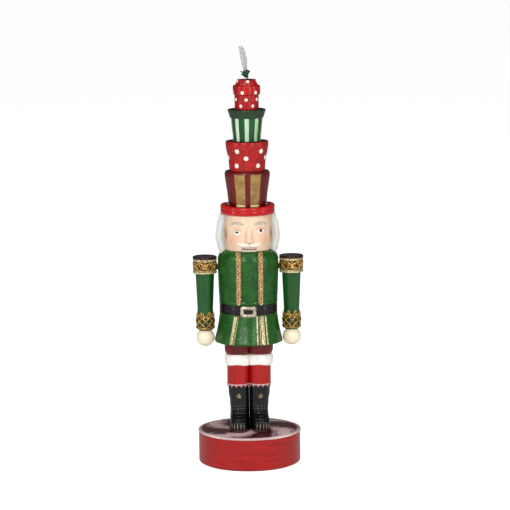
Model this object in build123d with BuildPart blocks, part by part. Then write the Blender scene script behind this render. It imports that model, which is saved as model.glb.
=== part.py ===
"""Nutcracker figure: a turned-wood soldier with a lever jaw, swinging arms and a tower of stacked hats.

Units are millimetres. +Z is up, the figure faces -Y, and its own left hand is on +X.
The origin is the centre of the plinth's underside.
"""

import os

from build123d import *

# ---------------------------------------------------------------- driving dimensions
PLINTH_R = 55.7
PLINTH_TOP_R = 56.4
PLINTH_TOP_Z = 37.3  # where the boots stand
FELT = 1.2
TOP_DISC = 2.5

LEG_X = 11.9  # each leg's axis, out from the middle
LEG_R = 11.7
BOOT_TOP_Z = 86.0
KNEE_Z = (109.0, 121.0)
BREECHES_R = 14.9
HEM_Z = 135.0  # the coat's hem
HEM_RECESS = 3.0
HEM_R = 37.6

WAIST_Z = 167.5
BELT_TOP_Z = 178.5
BELT_R = 31.7
BELT_SEAT_R = 29.0
CHEST_R = 33.0
NECK_Z = 236.2  # top of the domed shoulders, underside of the head
HEAD_TOP_Z = 275.2

SLOT_HALF = 8.0  # half the width of the jaw's slot
JAW_HALF = 7.7
PIVOT_Y, PIVOT_Z = -8.0, 204.0
MOUTH_TOP_Z = NECK_Z + 5.2

ARM_X = 47.2
SHOULDER_Z = 217.0
ARM_TOP_Z = 210.4
CUFF_Z = (148.6, 165.0)
WRIST_Z = 148.0
HAND_R = 9.9
HAND_Z = 139.5
EPAULETTE_R = 13.3

PIN_R = 1.5
DOWEL_R = 4.0
SHOULDER_DOWEL_R = 3.0
SCREW_R = 1.7
CLEARANCE = 0.05  # between a shaft and its hole

CROWN_Z = (280.0, 322.0)
GIFT_TOP_Z = (415.0, 421.0)
TOTAL_Z = 457.2  # 18 inches

SIDES = (("left", 1), ("right", -1))  # the figure's own left is on +X
FROM_BOTTOM = (Align.CENTER, Align.CENTER, Align.MIN)

os.makedirs("parts", exist_ok=True)


# ---------------------------------------------------------------- helpers
def save(piece, name):
    """Label a finished piece and write it as its own node."""
    piece.part.label = name
    export_step(piece.part, f"parts/{name}.step")


def lathe(outline, x=0.0, mode=Mode.ADD):
    """Turn a closed outline of (radius, height) points about a vertical axis at x."""
    with BuildSketch(Plane((x, 0, 0), x_dir=(1, 0, 0), z_dir=(0, -1, 0))) as profile:
        with BuildLine():
            Polyline(*outline, close=True)
        make_face()
    revolve(profile.sketch, axis=Axis((x, 0, 0), (0, 0, 1)), mode=mode)


def barrel(bottom, middle, top, mode=Mode.ADD):
    """Turn a solid whose side is one arc through three (radius, height) points."""
    with BuildSketch(Plane.XZ) as profile:
        with BuildLine():
            ThreePointArc(bottom, middle, top)
            Polyline(top, (0, top[1]), (0, bottom[1]), bottom)
        make_face()
    revolve(profile.sketch, axis=Axis.Z, mode=mode)


def drill(x, y, radius, low, high):
    """Cut an upright round hole from height low to height high."""
    with Locations((x, y, low)):
        Cylinder(radius, high - low, align=FROM_BOTTOM, mode=Mode.SUBTRACT)


def cross_pin(x_range, y, z, radius, mode=Mode.ADD):
    """Add or cut a round bar that lies along X."""
    with BuildSketch(Plane((x_range[0], y, z), x_dir=(0, 1, 0), z_dir=(1, 0, 0))) as section:
        Circle(radius)
    extrude(section.sketch, amount=x_range[1] - x_range[0], mode=mode)


def keep_front(*outlines):
    """Keep only what lies behind these (x, z) outlines, seen from the front."""
    with BuildSketch(Plane.XZ) as window:
        for outline in outlines:
            with BuildLine():
                Polyline(*outline, close=True)
            make_face()
    extrude(window.sketch, amount=PLINTH_R, mode=Mode.INTERSECT)


def upright_bar(x, half_width, low, high, lean=0.0):
    """An outline for keep_front: a bar that leans outward by lean at its foot."""
    return [
        (x - half_width, high),
        (x + half_width, high),
        (x + half_width + lean, low),
        (x - half_width + lean, low),
    ]


# ---------------------------------------------------------------- outlines shared by several pieces
def torso_outline(grow=0.0):
    """The chest from the belt's top edge up; grow is how far it is swollen outward."""
    return [
        (0, BELT_TOP_Z),
        (31.4 + grow, BELT_TOP_Z),
        (32.2 + grow, 190),
        (CHEST_R + grow, 214),
        (CHEST_R + grow, 227),
        (31.4 + grow, 231.6),
        (28.8 + grow, 234.9),
        (26.6 + grow, NECK_Z),
        (0, NECK_Z),
    ]


def skirt_outline(grow=0.0):
    """The flared coat skirt, hem to waist."""
    return [
        (0, HEM_Z),
        (HEM_R + grow, HEM_Z),
        (HEM_R + grow, HEM_Z + 1.5),
        (35.6 + grow, 143),
        (33.2 + grow, 153),
        (31.2 + grow, WAIST_Z),
        (0, WAIST_Z),
    ]


def crown_outline(grow=0.0, low=CROWN_Z[0], high=CROWN_Z[1]):
    """The striped crown, which flares upward."""
    return [
        (0, low),
        (19.6 + grow, low),
        (21.6 + grow, 299),
        (24.3 + grow, 317),
        (24.3 + grow, high - 1.5),
        (23.7 + grow, high),
        (0, high),
    ]


def head_barrel(grow=0.0, mode=Mode.ADD):
    """The round head; grow is how far it is swollen outward."""
    barrel((25.2 + grow, NECK_Z), (26.8 + grow, 255), (25.0 + grow, HEAD_TOP_Z), mode)


# ---------------------------------------------------------------- plinth
with BuildPart() as felt_pad:
    Cylinder(PLINTH_R - 4.5, FELT, align=FROM_BOTTOM)
save(felt_pad, "felt_pad")

with BuildPart() as base_plinth:
    with Locations((0, 0, FELT)):
        Cylinder(PLINTH_R, PLINTH_TOP_Z - TOP_DISC - FELT, align=FROM_BOTTOM)
    fillet(base_plinth.edges().group_by(Axis.Z)[0], 2.2)
    fillet(base_plinth.edges().group_by(Axis.Z)[-1], 0.8)
    for _, side in SIDES:
        drill(side * LEG_X, 0, SCREW_R + CLEARANCE, FELT, PLINTH_TOP_Z)
        drill(side * LEG_X, 0, 4.0, FELT, FELT + 4.0)
save(base_plinth, "base_plinth")

with BuildPart() as plinth_top:
    with Locations((0, 0, PLINTH_TOP_Z - TOP_DISC)):
        Cylinder(PLINTH_TOP_R, TOP_DISC, align=FROM_BOTTOM)
    fillet(plinth_top.edges(), 1.0)
    for _, side in SIDES:
        drill(side * LEG_X, 0, SCREW_R + CLEARANCE, 0, PLINTH_TOP_Z)
save(plinth_top, "plinth_top")

with BuildPart() as base_screws:
    for _, side in SIDES:
        lathe(
            [(0, 2.6), (3.6, 2.6), (3.6, 5.0), (SCREW_R, 5.0), (SCREW_R, 58), (0, 61)],
            x=side * LEG_X,
        )
save(base_screws, "base_screws")

# ---------------------------------------------------------------- boots and legs
SOLE_Z = PLINTH_TOP_Z + 3.0
TOE_X, TOE_Y, TOE_R = 12.4, -15.6, 9.2
HEEL_X, HEEL_R = 11.2, 10.3
SHAFT_LEVELS = (  # a boot's shaft: height, distance of its centre from the middle, radius
    (SOLE_Z, HEEL_X, HEEL_R),
    (55.0, 10.5, 10.2),
    (68.0, 10.8, 10.5),
    (83.0, 11.7, 11.4),
    (BOOT_TOP_Z, 11.7, 11.4),
)


def foot_plan(side, grow=0.0):
    """A boot's foot seen from above: a round heel joined to a round toe that points outward."""
    with Locations((side * HEEL_X, 0)):
        Circle(HEEL_R + grow)
    with Locations((side * TOE_X, TOE_Y)):
        Circle(TOE_R + grow)
    make_hull()


for name, side in SIDES:
    leg_x = side * LEG_X

    with BuildPart() as boot_sole:
        with BuildSketch(Plane.XY.offset(PLINTH_TOP_Z)):
            foot_plan(side, grow=0.8)
        extrude(amount=SOLE_Z - PLINTH_TOP_Z)
        fillet(boot_sole.edges().group_by(Axis.Z)[-1], 0.8)
        drill(leg_x, 0, SCREW_R + CLEARANCE, PLINTH_TOP_Z, SOLE_Z)
    save(boot_sole, f"boot_sole_{name}")

    with BuildPart() as boot:
        with BuildSketch(Plane.XY.offset(SOLE_Z)):
            foot_plan(side)
        extrude(amount=13.0)
        fillet(boot.edges().group_by(Axis.Z)[-1], 5.0)
        for height, centre, radius in SHAFT_LEVELS:
            with BuildSketch(Plane.XY.offset(height)):
                with Locations((side * centre, 0)):
                    Circle(radius)
        loft(ruled=True)
        drill(leg_x, 0, SCREW_R + CLEARANCE, SOLE_Z, 62)
        drill(leg_x, 0, DOWEL_R + CLEARANCE, 66, BOOT_TOP_Z)
    save(boot, f"boot_{name}")

    with BuildPart() as boot_cuff:
        lathe([(0, 83.2), (12.1, 83.2), (12.3, 88.2), (0, 88.2)], x=leg_x)
        drill(leg_x, 0, LEG_R + CLEARANCE, 83.2, 88.2)
        split(bisect_by=Plane.YZ, keep=Keep.TOP if side > 0 else Keep.BOTTOM)
    save(boot_cuff, f"boot_cuff_{name}")

    with BuildPart() as leg:
        with Locations((leg_x, 0, BOOT_TOP_Z)):
            Cylinder(LEG_R, KNEE_Z[1] - BOOT_TOP_Z, align=FROM_BOTTOM)
        drill(leg_x, 0, DOWEL_R + CLEARANCE, BOOT_TOP_Z, KNEE_Z[1])
    save(leg, f"leg_{name}")

    with BuildPart() as knee_band:
        low, high = KNEE_Z
        lathe(
            [(0, low), (13.0, low), (14.3, low + 3), (14.5, 115), (14.3, high - 3), (13.0, high), (0, high)],
            x=leg_x,
        )
        drill(leg_x, 0, LEG_R + CLEARANCE, low, high)
        split(bisect_by=Plane.YZ, keep=Keep.TOP if side > 0 else Keep.BOTTOM)
    save(knee_band, f"knee_band_{name}")

with BuildPart() as boot_ornaments:
    for _, side in SIDES:
        with BuildSketch(Plane((side * LEG_X, -10.4, 75), x_dir=(1, 0, 0), z_dir=(0, -1, 0))) as rosette:
            Circle(2.6)
        extrude(rosette.sketch, amount=2.2)
    for _, side in SIDES:
        lathe([(0, 60), (11.3, 60), (11.3, 83), (0, 83)], x=side * HEEL_X, mode=Mode.SUBTRACT)
save(boot_ornaments, "boot_ornaments")

with BuildPart() as breeches:
    for _, side in SIDES:
        with Locations((side * LEG_X, 0, KNEE_Z[1])):
            Cylinder(BREECHES_R, HEM_Z + HEM_RECESS - KNEE_Z[1], align=FROM_BOTTOM)
    for _, side in SIDES:
        drill(side * LEG_X, 0, DOWEL_R + CLEARANCE, KNEE_Z[1], HEM_Z + HEM_RECESS)
save(breeches, "breeches")

with BuildPart() as leg_dowels:
    for _, side in SIDES:
        with Locations((side * LEG_X, 0, 67)):
            Cylinder(DOWEL_R, 151 - 67, align=FROM_BOTTOM)
save(leg_dowels, "leg_dowels")

# ---------------------------------------------------------------- coat, belt and buckle
with BuildPart() as coat_skirt:
    lathe(skirt_outline())
    drill(0, 0, HEM_R - 3.5, HEM_Z, HEM_Z + HEM_RECESS)
    for _, side in SIDES:
        drill(side * LEG_X, 0, DOWEL_R + CLEARANCE, HEM_Z, 152)
save(coat_skirt, "coat_skirt")

with BuildPart() as skirt_braids:
    lathe(skirt_outline(grow=0.8))
    lathe(skirt_outline(), mode=Mode.SUBTRACT)
    keep_front(
        upright_bar(-13.4, 2.6, HEM_Z + 2, WAIST_Z - 1.0, lean=-7.5),
        upright_bar(13.6, 3.8, HEM_Z + 2, WAIST_Z - 1.0, lean=2.5),
    )
save(skirt_braids, "skirt_braids")

with BuildPart() as belt:
    with Locations((0, 0, WAIST_Z)):
        Cylinder(BELT_R, BELT_TOP_Z - WAIST_Z, align=FROM_BOTTOM)
    fillet(belt.edges(), 0.8)
    drill(0, 0, BELT_SEAT_R + CLEARANCE, WAIST_Z, BELT_TOP_Z)
save(belt, "belt")

BUCKLE_X = -1.8  # the buckle is fastened slightly off the middle of the front
BUCKLE_Z = (WAIST_Z + BELT_TOP_Z) / 2 - 1.2

with BuildPart() as belt_buckle:
    with Locations((0, 0, BUCKLE_Z)):
        Cylinder(BELT_R + 2.0, 16)
        Cylinder(BELT_R, 16, mode=Mode.SUBTRACT)
    with BuildSketch(Plane((BUCKLE_X, 0, BUCKLE_Z), x_dir=(1, 0, 0), z_dir=(0, -1, 0))) as frame_shape:
        RectangleRounded(17.0, 12.0, 1.5)
        Rectangle(9.4, 5.6, mode=Mode.SUBTRACT)
    extrude(frame_shape.sketch, amount=PLINTH_R, mode=Mode.INTERSECT)
save(belt_buckle, "belt_buckle")

SLOT_FRONT_FLOOR = 175.5  # behind the belt, so that the jaw's foot can swing down
SLOT_BACK_FLOOR = 192.0
SLOT_STEP_Y = -2.0

with BuildPart() as torso:
    lathe(torso_outline())
    with Locations((0, 0, WAIST_Z)):
        Cylinder(BELT_SEAT_R, BELT_TOP_Z - WAIST_Z, align=FROM_BOTTOM)
    with BuildSketch(Plane.YZ.offset(-SLOT_HALF)) as slot:
        with BuildLine():
            Polyline(
                (-60, SLOT_FRONT_FLOOR),
                (SLOT_STEP_Y, SLOT_FRONT_FLOOR),
                (SLOT_STEP_Y, SLOT_BACK_FLOOR),
                (60, SLOT_BACK_FLOOR),
                (60, NECK_Z),
                (-60, NECK_Z),
                close=True,
            )
        make_face()
    extrude(slot.sketch, amount=2 * SLOT_HALF, mode=Mode.SUBTRACT)
    cross_pin((-26.2, 26.2), PIVOT_Y, PIVOT_Z, PIN_R + CLEARANCE, mode=Mode.SUBTRACT)
    for _, side in SIDES:
        ends = sorted((side * 19.8, side * 40))
        cross_pin(ends, 0, SHOULDER_Z, SHOULDER_DOWEL_R + CLEARANCE, mode=Mode.SUBTRACT)
save(torso, "torso")

with BuildPart() as jaw_pin:
    cross_pin((-26, 26), PIVOT_Y, PIVOT_Z, PIN_R)
save(jaw_pin, "jaw_pin")

for name, side in SIDES:
    with BuildPart() as coat_braid:
        lathe(torso_outline(grow=1.0))
        lathe(torso_outline(), mode=Mode.SUBTRACT)
        keep_front(upright_bar(side * 12.0, 2.6, BELT_TOP_Z + 0.5, NECK_Z - 0.5))
    save(coat_braid, f"coat_braid_{name}")

    with BuildPart() as shoulder_dowel:
        cross_pin(sorted((side * 20, side * 52)), 0, SHOULDER_Z, SHOULDER_DOWEL_R)
    save(shoulder_dowel, f"shoulder_dowel_{name}")

# ---------------------------------------------------------------- jaw lever
LEVER_TAIL = [
    (-20, 198),
    (-20, 214),
    (30, 215),
    (38, 213),
    (43.5, 206),
    (45.5, 196),
    (47, 151),
    (44.5, 145),
    (41, 147),
    (38.6, 190),
    (36.6, 196),
    (33, 198.5),
]

with BuildPart() as jaw_lever:
    lathe(torso_outline())
    with BuildSketch(Plane.YZ.offset(-JAW_HALF)) as jaw_block:
        with BuildLine():
            Polyline(
                (-60, 182.1),
                (-31.2, 182.1),
                (-29.4, 180.5),
                (-12, 180.5),
                (-12, NECK_Z),
                (-60, NECK_Z),
                close=True,
            )
        make_face()
    extrude(jaw_block.sketch, amount=2 * JAW_HALF, mode=Mode.INTERSECT)
    with BuildSketch(Plane.YZ.offset(-JAW_HALF)) as tail:
        with BuildLine():
            Polyline(*LEVER_TAIL, close=True)
        make_face()
    extrude(tail.sketch, amount=2 * JAW_HALF)
    cross_pin((-JAW_HALF, JAW_HALF), PIVOT_Y, PIVOT_Z, PIN_R + CLEARANCE, mode=Mode.SUBTRACT)
save(jaw_lever, "jaw_lever")

with BuildPart() as lower_teeth:
    barrel((24.6, NECK_Z), (25.6, NECK_Z + 1.2), (25.2, NECK_Z + 2.4))
    with Locations((0, -19, NECK_Z)):
        Box(14, 14, 2.4, align=FROM_BOTTOM, mode=Mode.INTERSECT)
save(lower_teeth, "lower_teeth")

# ---------------------------------------------------------------- head and face
with BuildPart() as head:
    head_barrel()
    with Locations((0, -30, NECK_Z)):
        Box(2 * SLOT_HALF + 0.4, 40, MOUTH_TOP_Z - NECK_Z, align=FROM_BOTTOM, mode=Mode.SUBTRACT)
    drill(0, 0, DOWEL_R + CLEARANCE, 258, HEAD_TOP_Z)
save(head, "head")

FACE_HALF_ANGLE = 76.0

with BuildPart() as hair:
    lathe(
        [
            (0, 232.4),
            (30.6, 232.4),
            (33.6, 239),
            (35.2, 247),
            (35.2, 255),
            (33.8, 264),
            (31.2, 272),
            (30.6, HEAD_TOP_Z),
            (0, HEAD_TOP_Z),
        ]
    )
    head_barrel(mode=Mode.SUBTRACT)
    lathe(torso_outline(grow=CLEARANCE), mode=Mode.SUBTRACT)
    with BuildSketch(Plane.XY.offset(232.0)) as face_wedge:
        with BuildLine():
            edge = PolarLine((0, 0), 200, -90 - FACE_HALF_ANGLE)
            other = PolarLine((0, 0), 200, -90 + FACE_HALF_ANGLE)
            Line(edge @ 1, other @ 1)
        make_face()
    extrude(face_wedge.sketch, amount=60, mode=Mode.SUBTRACT)
save(hair, "hair")

with BuildPart() as nose:
    with Locations((0, -26.6, 250)):
        Sphere(4.0)
    head_barrel(mode=Mode.SUBTRACT)
save(nose, "nose")

with BuildPart() as eyes:
    head_barrel(grow=0.7)
    head_barrel(mode=Mode.SUBTRACT)
    with BuildSketch(Plane.XZ) as eye_shapes:
        with Locations((-13.0, 258.2), (13.0, 258.2)):
            Ellipse(4.2, 3.2)
    extrude(eye_shapes.sketch, amount=PLINTH_R, mode=Mode.INTERSECT)
save(eyes, "eyes")

with BuildPart() as eyebrows:
    head_barrel(grow=1.2)
    head_barrel(mode=Mode.SUBTRACT)
    with BuildSketch(Plane.XZ) as brow_shapes:
        with Locations((-12.4, 266.4), (12.4, 266.4)):
            Ellipse(5.6, 1.7)
    extrude(brow_shapes.sketch, amount=PLINTH_R, mode=Mode.INTERSECT)
save(eyebrows, "eyebrows")

with BuildPart() as moustache:
    head_barrel(grow=1.8)
    head_barrel(mode=Mode.SUBTRACT)
    with BuildSketch(Plane.XZ) as moustache_shape:
        with Locations((-5.6, 243.6)):
            Ellipse(6.6, 2.3, rotation=12)
        with Locations((5.6, 243.6)):
            Ellipse(6.6, 2.3, rotation=-12)
    extrude(moustache_shape.sketch, amount=PLINTH_R, mode=Mode.INTERSECT)
save(moustache, "moustache")

with BuildPart() as upper_teeth:
    with Locations((0, -22.4, MOUTH_TOP_Z - 2.0)):
        Box(13, 3.0, 2.0, align=FROM_BOTTOM)
save(upper_teeth, "upper_teeth")

# ---------------------------------------------------------------- hat tower
BRIM_FLOOR = CROWN_Z[0]

with BuildPart() as hat_brim:
    lathe(
        [
            (0, HEAD_TOP_Z),
            (26.5, HEAD_TOP_Z),
            (28.6, HEAD_TOP_Z + 1.0),
            (29.6, HEAD_TOP_Z + 3.2),
            (29.6, 283),
            (28.9, 285.8),
            (27.2, 286.8),
            (25.4, 285.8),
            (24.4, 283),
            (23.6, BRIM_FLOOR),
            (0, BRIM_FLOOR),
        ]
    )
    drill(0, 0, DOWEL_R + CLEARANCE, HEAD_TOP_Z, BRIM_FLOOR)
save(hat_brim, "hat_brim")

with BuildPart() as hat_crown:
    lathe(crown_outline())
    drill(0, 0, DOWEL_R + CLEARANCE, *CROWN_Z)
save(hat_crown, "hat_crown")

STRIPE_PAIRS = 3
STRIPE_ANGLE = 29.0  # a gold stripe's width around the crown
PAIR_PITCH = 43.0  # between the middles of a pair's two stripes

with BuildPart() as crown_stripes:
    lathe(crown_outline(grow=0.5, low=281.0, high=320.0))
    lathe(crown_outline(), mode=Mode.SUBTRACT)
    with BuildSketch(Plane.XY.offset(CROWN_Z[0])) as stripe_wedges:
        corner = Vector(40, 0).rotate(Axis.Z, STRIPE_ANGLE / 2)
        for turn in (-PAIR_PITCH / 2, PAIR_PITCH / 2):
            with PolarLocations(0, STRIPE_PAIRS, start_angle=-92 + turn):
                Polygon((0, 0), (corner.X, -corner.Y), (corner.X, corner.Y), align=None)
    extrude(stripe_wedges.sketch, amount=50, mode=Mode.INTERSECT)
save(crown_stripes, "crown_stripes")

TIERS = {
    "dotted_tier": [(19.2, 322), (20.2, 334), (22.4, 345), (23.3, 350.5), (23.1, 354.5)],
    "striped_tier": [(14.8, 354.5), (15.2, 361), (16.2, 369), (17.1, 380)],
    "striped_lid": [(18.2, 380), (19.2, 383.5), (20.8, 388.2), (20.2, 389)],
    "gift_box": [(12.9, 389), (13.1, 405)],
    "gift_lid": [(14.4, 405), (14.8, 406), (14.8, 414), (14.2, 415)],
}

for name, wall in TIERS.items():
    low, high = wall[0][1], wall[-1][1]
    with BuildPart() as tier:
        lathe([(0, low), *wall, (0, high)])
        drill(0, 0, DOWEL_R + CLEARANCE, low, high)
    save(tier, name)

with BuildPart() as gift_top:
    low, high = GIFT_TOP_Z
    lathe([(0, low), (12, low), (11.6, low + 2.2), (10.4, high), (0, high)])
    drill(0, 0, DOWEL_R + CLEARANCE, low, high - 2)
save(gift_top, "gift_top")

with BuildPart() as tower_dowel:
    with Locations((0, 0, 259)):
        Cylinder(DOWEL_R, GIFT_TOP_Z[1] - 2.5 - 259, align=FROM_BOTTOM)
save(tower_dowel, "tower_dowel")

# ---------------------------------------------------------------- holly, berry and plume
LEAF_LENGTH = 11.0
LEAF_RISE = 50.0

with BuildPart() as holly_leaves:
    for turn in (188, 236):
        along = Vector(1, 0, 0).rotate(Axis.Y, -LEAF_RISE).rotate(Axis.Z, turn)
        facing = Vector(0, 0, 1).rotate(Axis.Y, -LEAF_RISE).rotate(Axis.Z, turn)
        with BuildSketch(Plane((0, 0, GIFT_TOP_Z[1]), x_dir=along, z_dir=facing)) as leaf:
            with BuildLine():
                ThreePointArc((1.5, 0), (LEAF_LENGTH / 2 + 0.5, 3.0), (LEAF_LENGTH, 0))
                ThreePointArc((LEAF_LENGTH, 0), (LEAF_LENGTH / 2 + 0.5, -3.0), (1.5, 0))
            make_face()
        extrude(leaf.sketch, amount=1.0)
    with Locations((0, 0, GIFT_TOP_Z[1])):
        Cylinder(12, 6, align=(Align.CENTER, Align.CENTER, Align.MAX), mode=Mode.SUBTRACT)
save(holly_leaves, "holly_leaves")

with BuildPart() as berry:
    with Locations((1.4, -1.4, GIFT_TOP_Z[1])):
        Cylinder(0.5, 7.5, align=FROM_BOTTOM)
    with Locations((0.9, -1.6, GIFT_TOP_Z[1] + 8.4)):
        Sphere(2.4)
save(berry, "berry")

PLUME_SECTIONS = (  # across, height, radius
    (-0.6, 421.0, 1.0),
    (-2.0, 431, 2.4),
    (-3.2, 441, 3.2),
    (-5.0, 451, 2.8),
    (-6.8, TOTAL_Z, 0.9),
)

with BuildPart() as plume:
    for centre_x, height, radius in PLUME_SECTIONS:
        with BuildSketch(Plane.XY.offset(height)):
            with Locations((centre_x, 3.6)):
                Circle(radius)
    loft()
save(plume, "plume")

# ---------------------------------------------------------------- arms
for name, side in SIDES:
    arm_x = side * ARM_X

    with BuildPart() as arm:
        lathe([(0, WRIST_Z), (7.9, WRIST_Z), (8.2, 163), (10.2, ARM_TOP_Z), (0, ARM_TOP_Z)], x=arm_x)
    save(arm, f"arm_{name}")

    with BuildPart() as epaulette:
        low, high = ARM_TOP_Z, 226.5
        lathe(
            [
                (0, low),
                (12.6, low),
                (EPAULETTE_R, low + 1.4),
                (12.8, low + 3),
                (12.6, high - 3),
                (EPAULETTE_R, high - 1.5),
                (EPAULETTE_R, high),
                (0, high),
            ],
            x=arm_x,
        )
        bore = sorted((side * 30, side * 52.2))
        cross_pin(bore, 0, SHOULDER_Z, SHOULDER_DOWEL_R + CLEARANCE, mode=Mode.SUBTRACT)
    save(epaulette, f"epaulette_{name}")

    with BuildPart() as epaulette_cap:
        lathe([(0, 226.5), (EPAULETTE_R, 226.5), (EPAULETTE_R, 228.2), (12.4, 229.2), (0, 229.2)], x=arm_x)
    save(epaulette_cap, f"epaulette_cap_{name}")

    with BuildPart() as cuff:
        low, high = CUFF_Z
        lathe([(0, low), (9.8, low), (10.3, low + 4), (10.1, high - 4), (9.6, high), (0, high)], x=arm_x)
        lathe([(0, low), (8.0, low), (8.4, high), (0, high)], x=arm_x, mode=Mode.SUBTRACT)
    save(cuff, f"cuff_{name}")

    with BuildPart() as hand:
        with Locations((arm_x, 0, HAND_Z)):
            Sphere(HAND_R)
        with Locations((arm_x, 0, WRIST_Z)):
            Cylinder(HAND_R, HAND_R, align=FROM_BOTTOM, mode=Mode.SUBTRACT)
    save(hand, f"hand_{name}")
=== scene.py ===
"""The looks of the nutcracker figure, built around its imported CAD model. Lengths are in metres."""

import math
import random

import bmesh
import bpy
from mathutils import Matrix, Vector, noise


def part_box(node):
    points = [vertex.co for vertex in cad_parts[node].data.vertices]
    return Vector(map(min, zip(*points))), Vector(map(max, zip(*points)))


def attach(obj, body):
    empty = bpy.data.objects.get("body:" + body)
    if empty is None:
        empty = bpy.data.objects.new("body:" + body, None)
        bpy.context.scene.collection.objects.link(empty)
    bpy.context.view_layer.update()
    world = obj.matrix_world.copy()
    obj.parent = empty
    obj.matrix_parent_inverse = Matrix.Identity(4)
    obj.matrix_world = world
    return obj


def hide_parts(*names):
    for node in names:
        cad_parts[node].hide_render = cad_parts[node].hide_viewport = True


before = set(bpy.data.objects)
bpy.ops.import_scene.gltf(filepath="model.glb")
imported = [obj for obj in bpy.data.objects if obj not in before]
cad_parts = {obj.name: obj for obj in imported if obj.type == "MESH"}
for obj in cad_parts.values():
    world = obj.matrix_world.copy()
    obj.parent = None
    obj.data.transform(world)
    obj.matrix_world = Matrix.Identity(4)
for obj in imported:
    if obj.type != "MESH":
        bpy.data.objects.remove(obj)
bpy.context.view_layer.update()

MM = 0.001
TAU = 2 * math.pi
FRONT = -math.pi / 2  # the angle, seen from above, that faces -Y
SIDES = (("left", 1), ("right", -1))  # the figure's own left is on +X
AXIS = 0.1 * MM  # an outline that starts or ends at the axis stops this far from it
random.seed(11)


# ---------- places read from the frame
BOX = {node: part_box(node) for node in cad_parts}


def low(node):
    """A node's lowest height."""
    return BOX[node][0].z


def high(node):
    """A node's greatest height."""
    return BOX[node][1].z


def heights(node):
    """A node's lowest and greatest heights."""
    return low(node), high(node)


def radius(node):
    """Half a node's width."""
    return (BOX[node][1].x - BOX[node][0].x) / 2


def middle(node):
    """A node's centre."""
    return (BOX[node][0] + BOX[node][1]) / 2


# ---------- mesh helpers
def smoothstep(t):
    """An S-curve from 0 to 1."""
    t = min(1.0, max(0.0, t))
    return t * t * (3 - 2 * t)


def straight(t):
    """No easing."""
    return t


def between(table, x, ease=smoothstep):
    """Read a table of (x, value, ...) rows at x; ease shapes the way from one row to the next."""
    for first, second in zip(table, table[1:]):
        if x <= second[0]:
            t = ease((x - first[0]) / (second[0] - first[0]))
            return [a + (b - a) * t for a, b in zip(first[1:], second[1:])]
    return list(table[-1][1:])


def polar(centre, distance, angle, z):
    """A point at a distance and an angle from an upright axis."""
    return Vector((centre[0] + distance * math.cos(angle), centre[1] + distance * math.sin(angle), z))


def circle(centre, distance, z, count):
    """A level ring of points around an upright axis."""
    return [polar(centre, distance, TAU * j / count, z) for j in range(count)]


def soften(outline, size, steps=5):
    """Round every inner corner of an open (radius, height) outline."""
    points = [Vector(p) for p in outline]
    result = [points[0]]
    for before, corner, after in zip(points, points[1:], points[2:]):
        reach = min(size, (corner - before).length * 0.45, (after - corner).length * 0.45)
        start = corner + (before - corner).normalized() * reach
        end = corner + (after - corner).normalized() * reach
        for i in range(steps + 1):
            t = i / steps
            result.append(start * (1 - t) ** 2 + corner * 2 * t * (1 - t) + end * t**2)
    return result + [points[-1]]


def rim(r, z, *steps):
    """Outline points that are given as inset and rise, in mm, from a radius and a height."""
    return [(r - inset * MM, z + rise * MM) for inset, rise in steps]


def refine(outline, step):
    """Add points so that no stretch of an outline is longer than step."""
    result = [Vector(outline[0])]
    for first, second in zip(outline, outline[1:]):
        first, second = Vector(first), Vector(second)
        parts = max(1, math.ceil((second - first).length / step))
        result += [first.lerp(second, i / parts) for i in range(1, parts + 1)]
    return result


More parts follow.
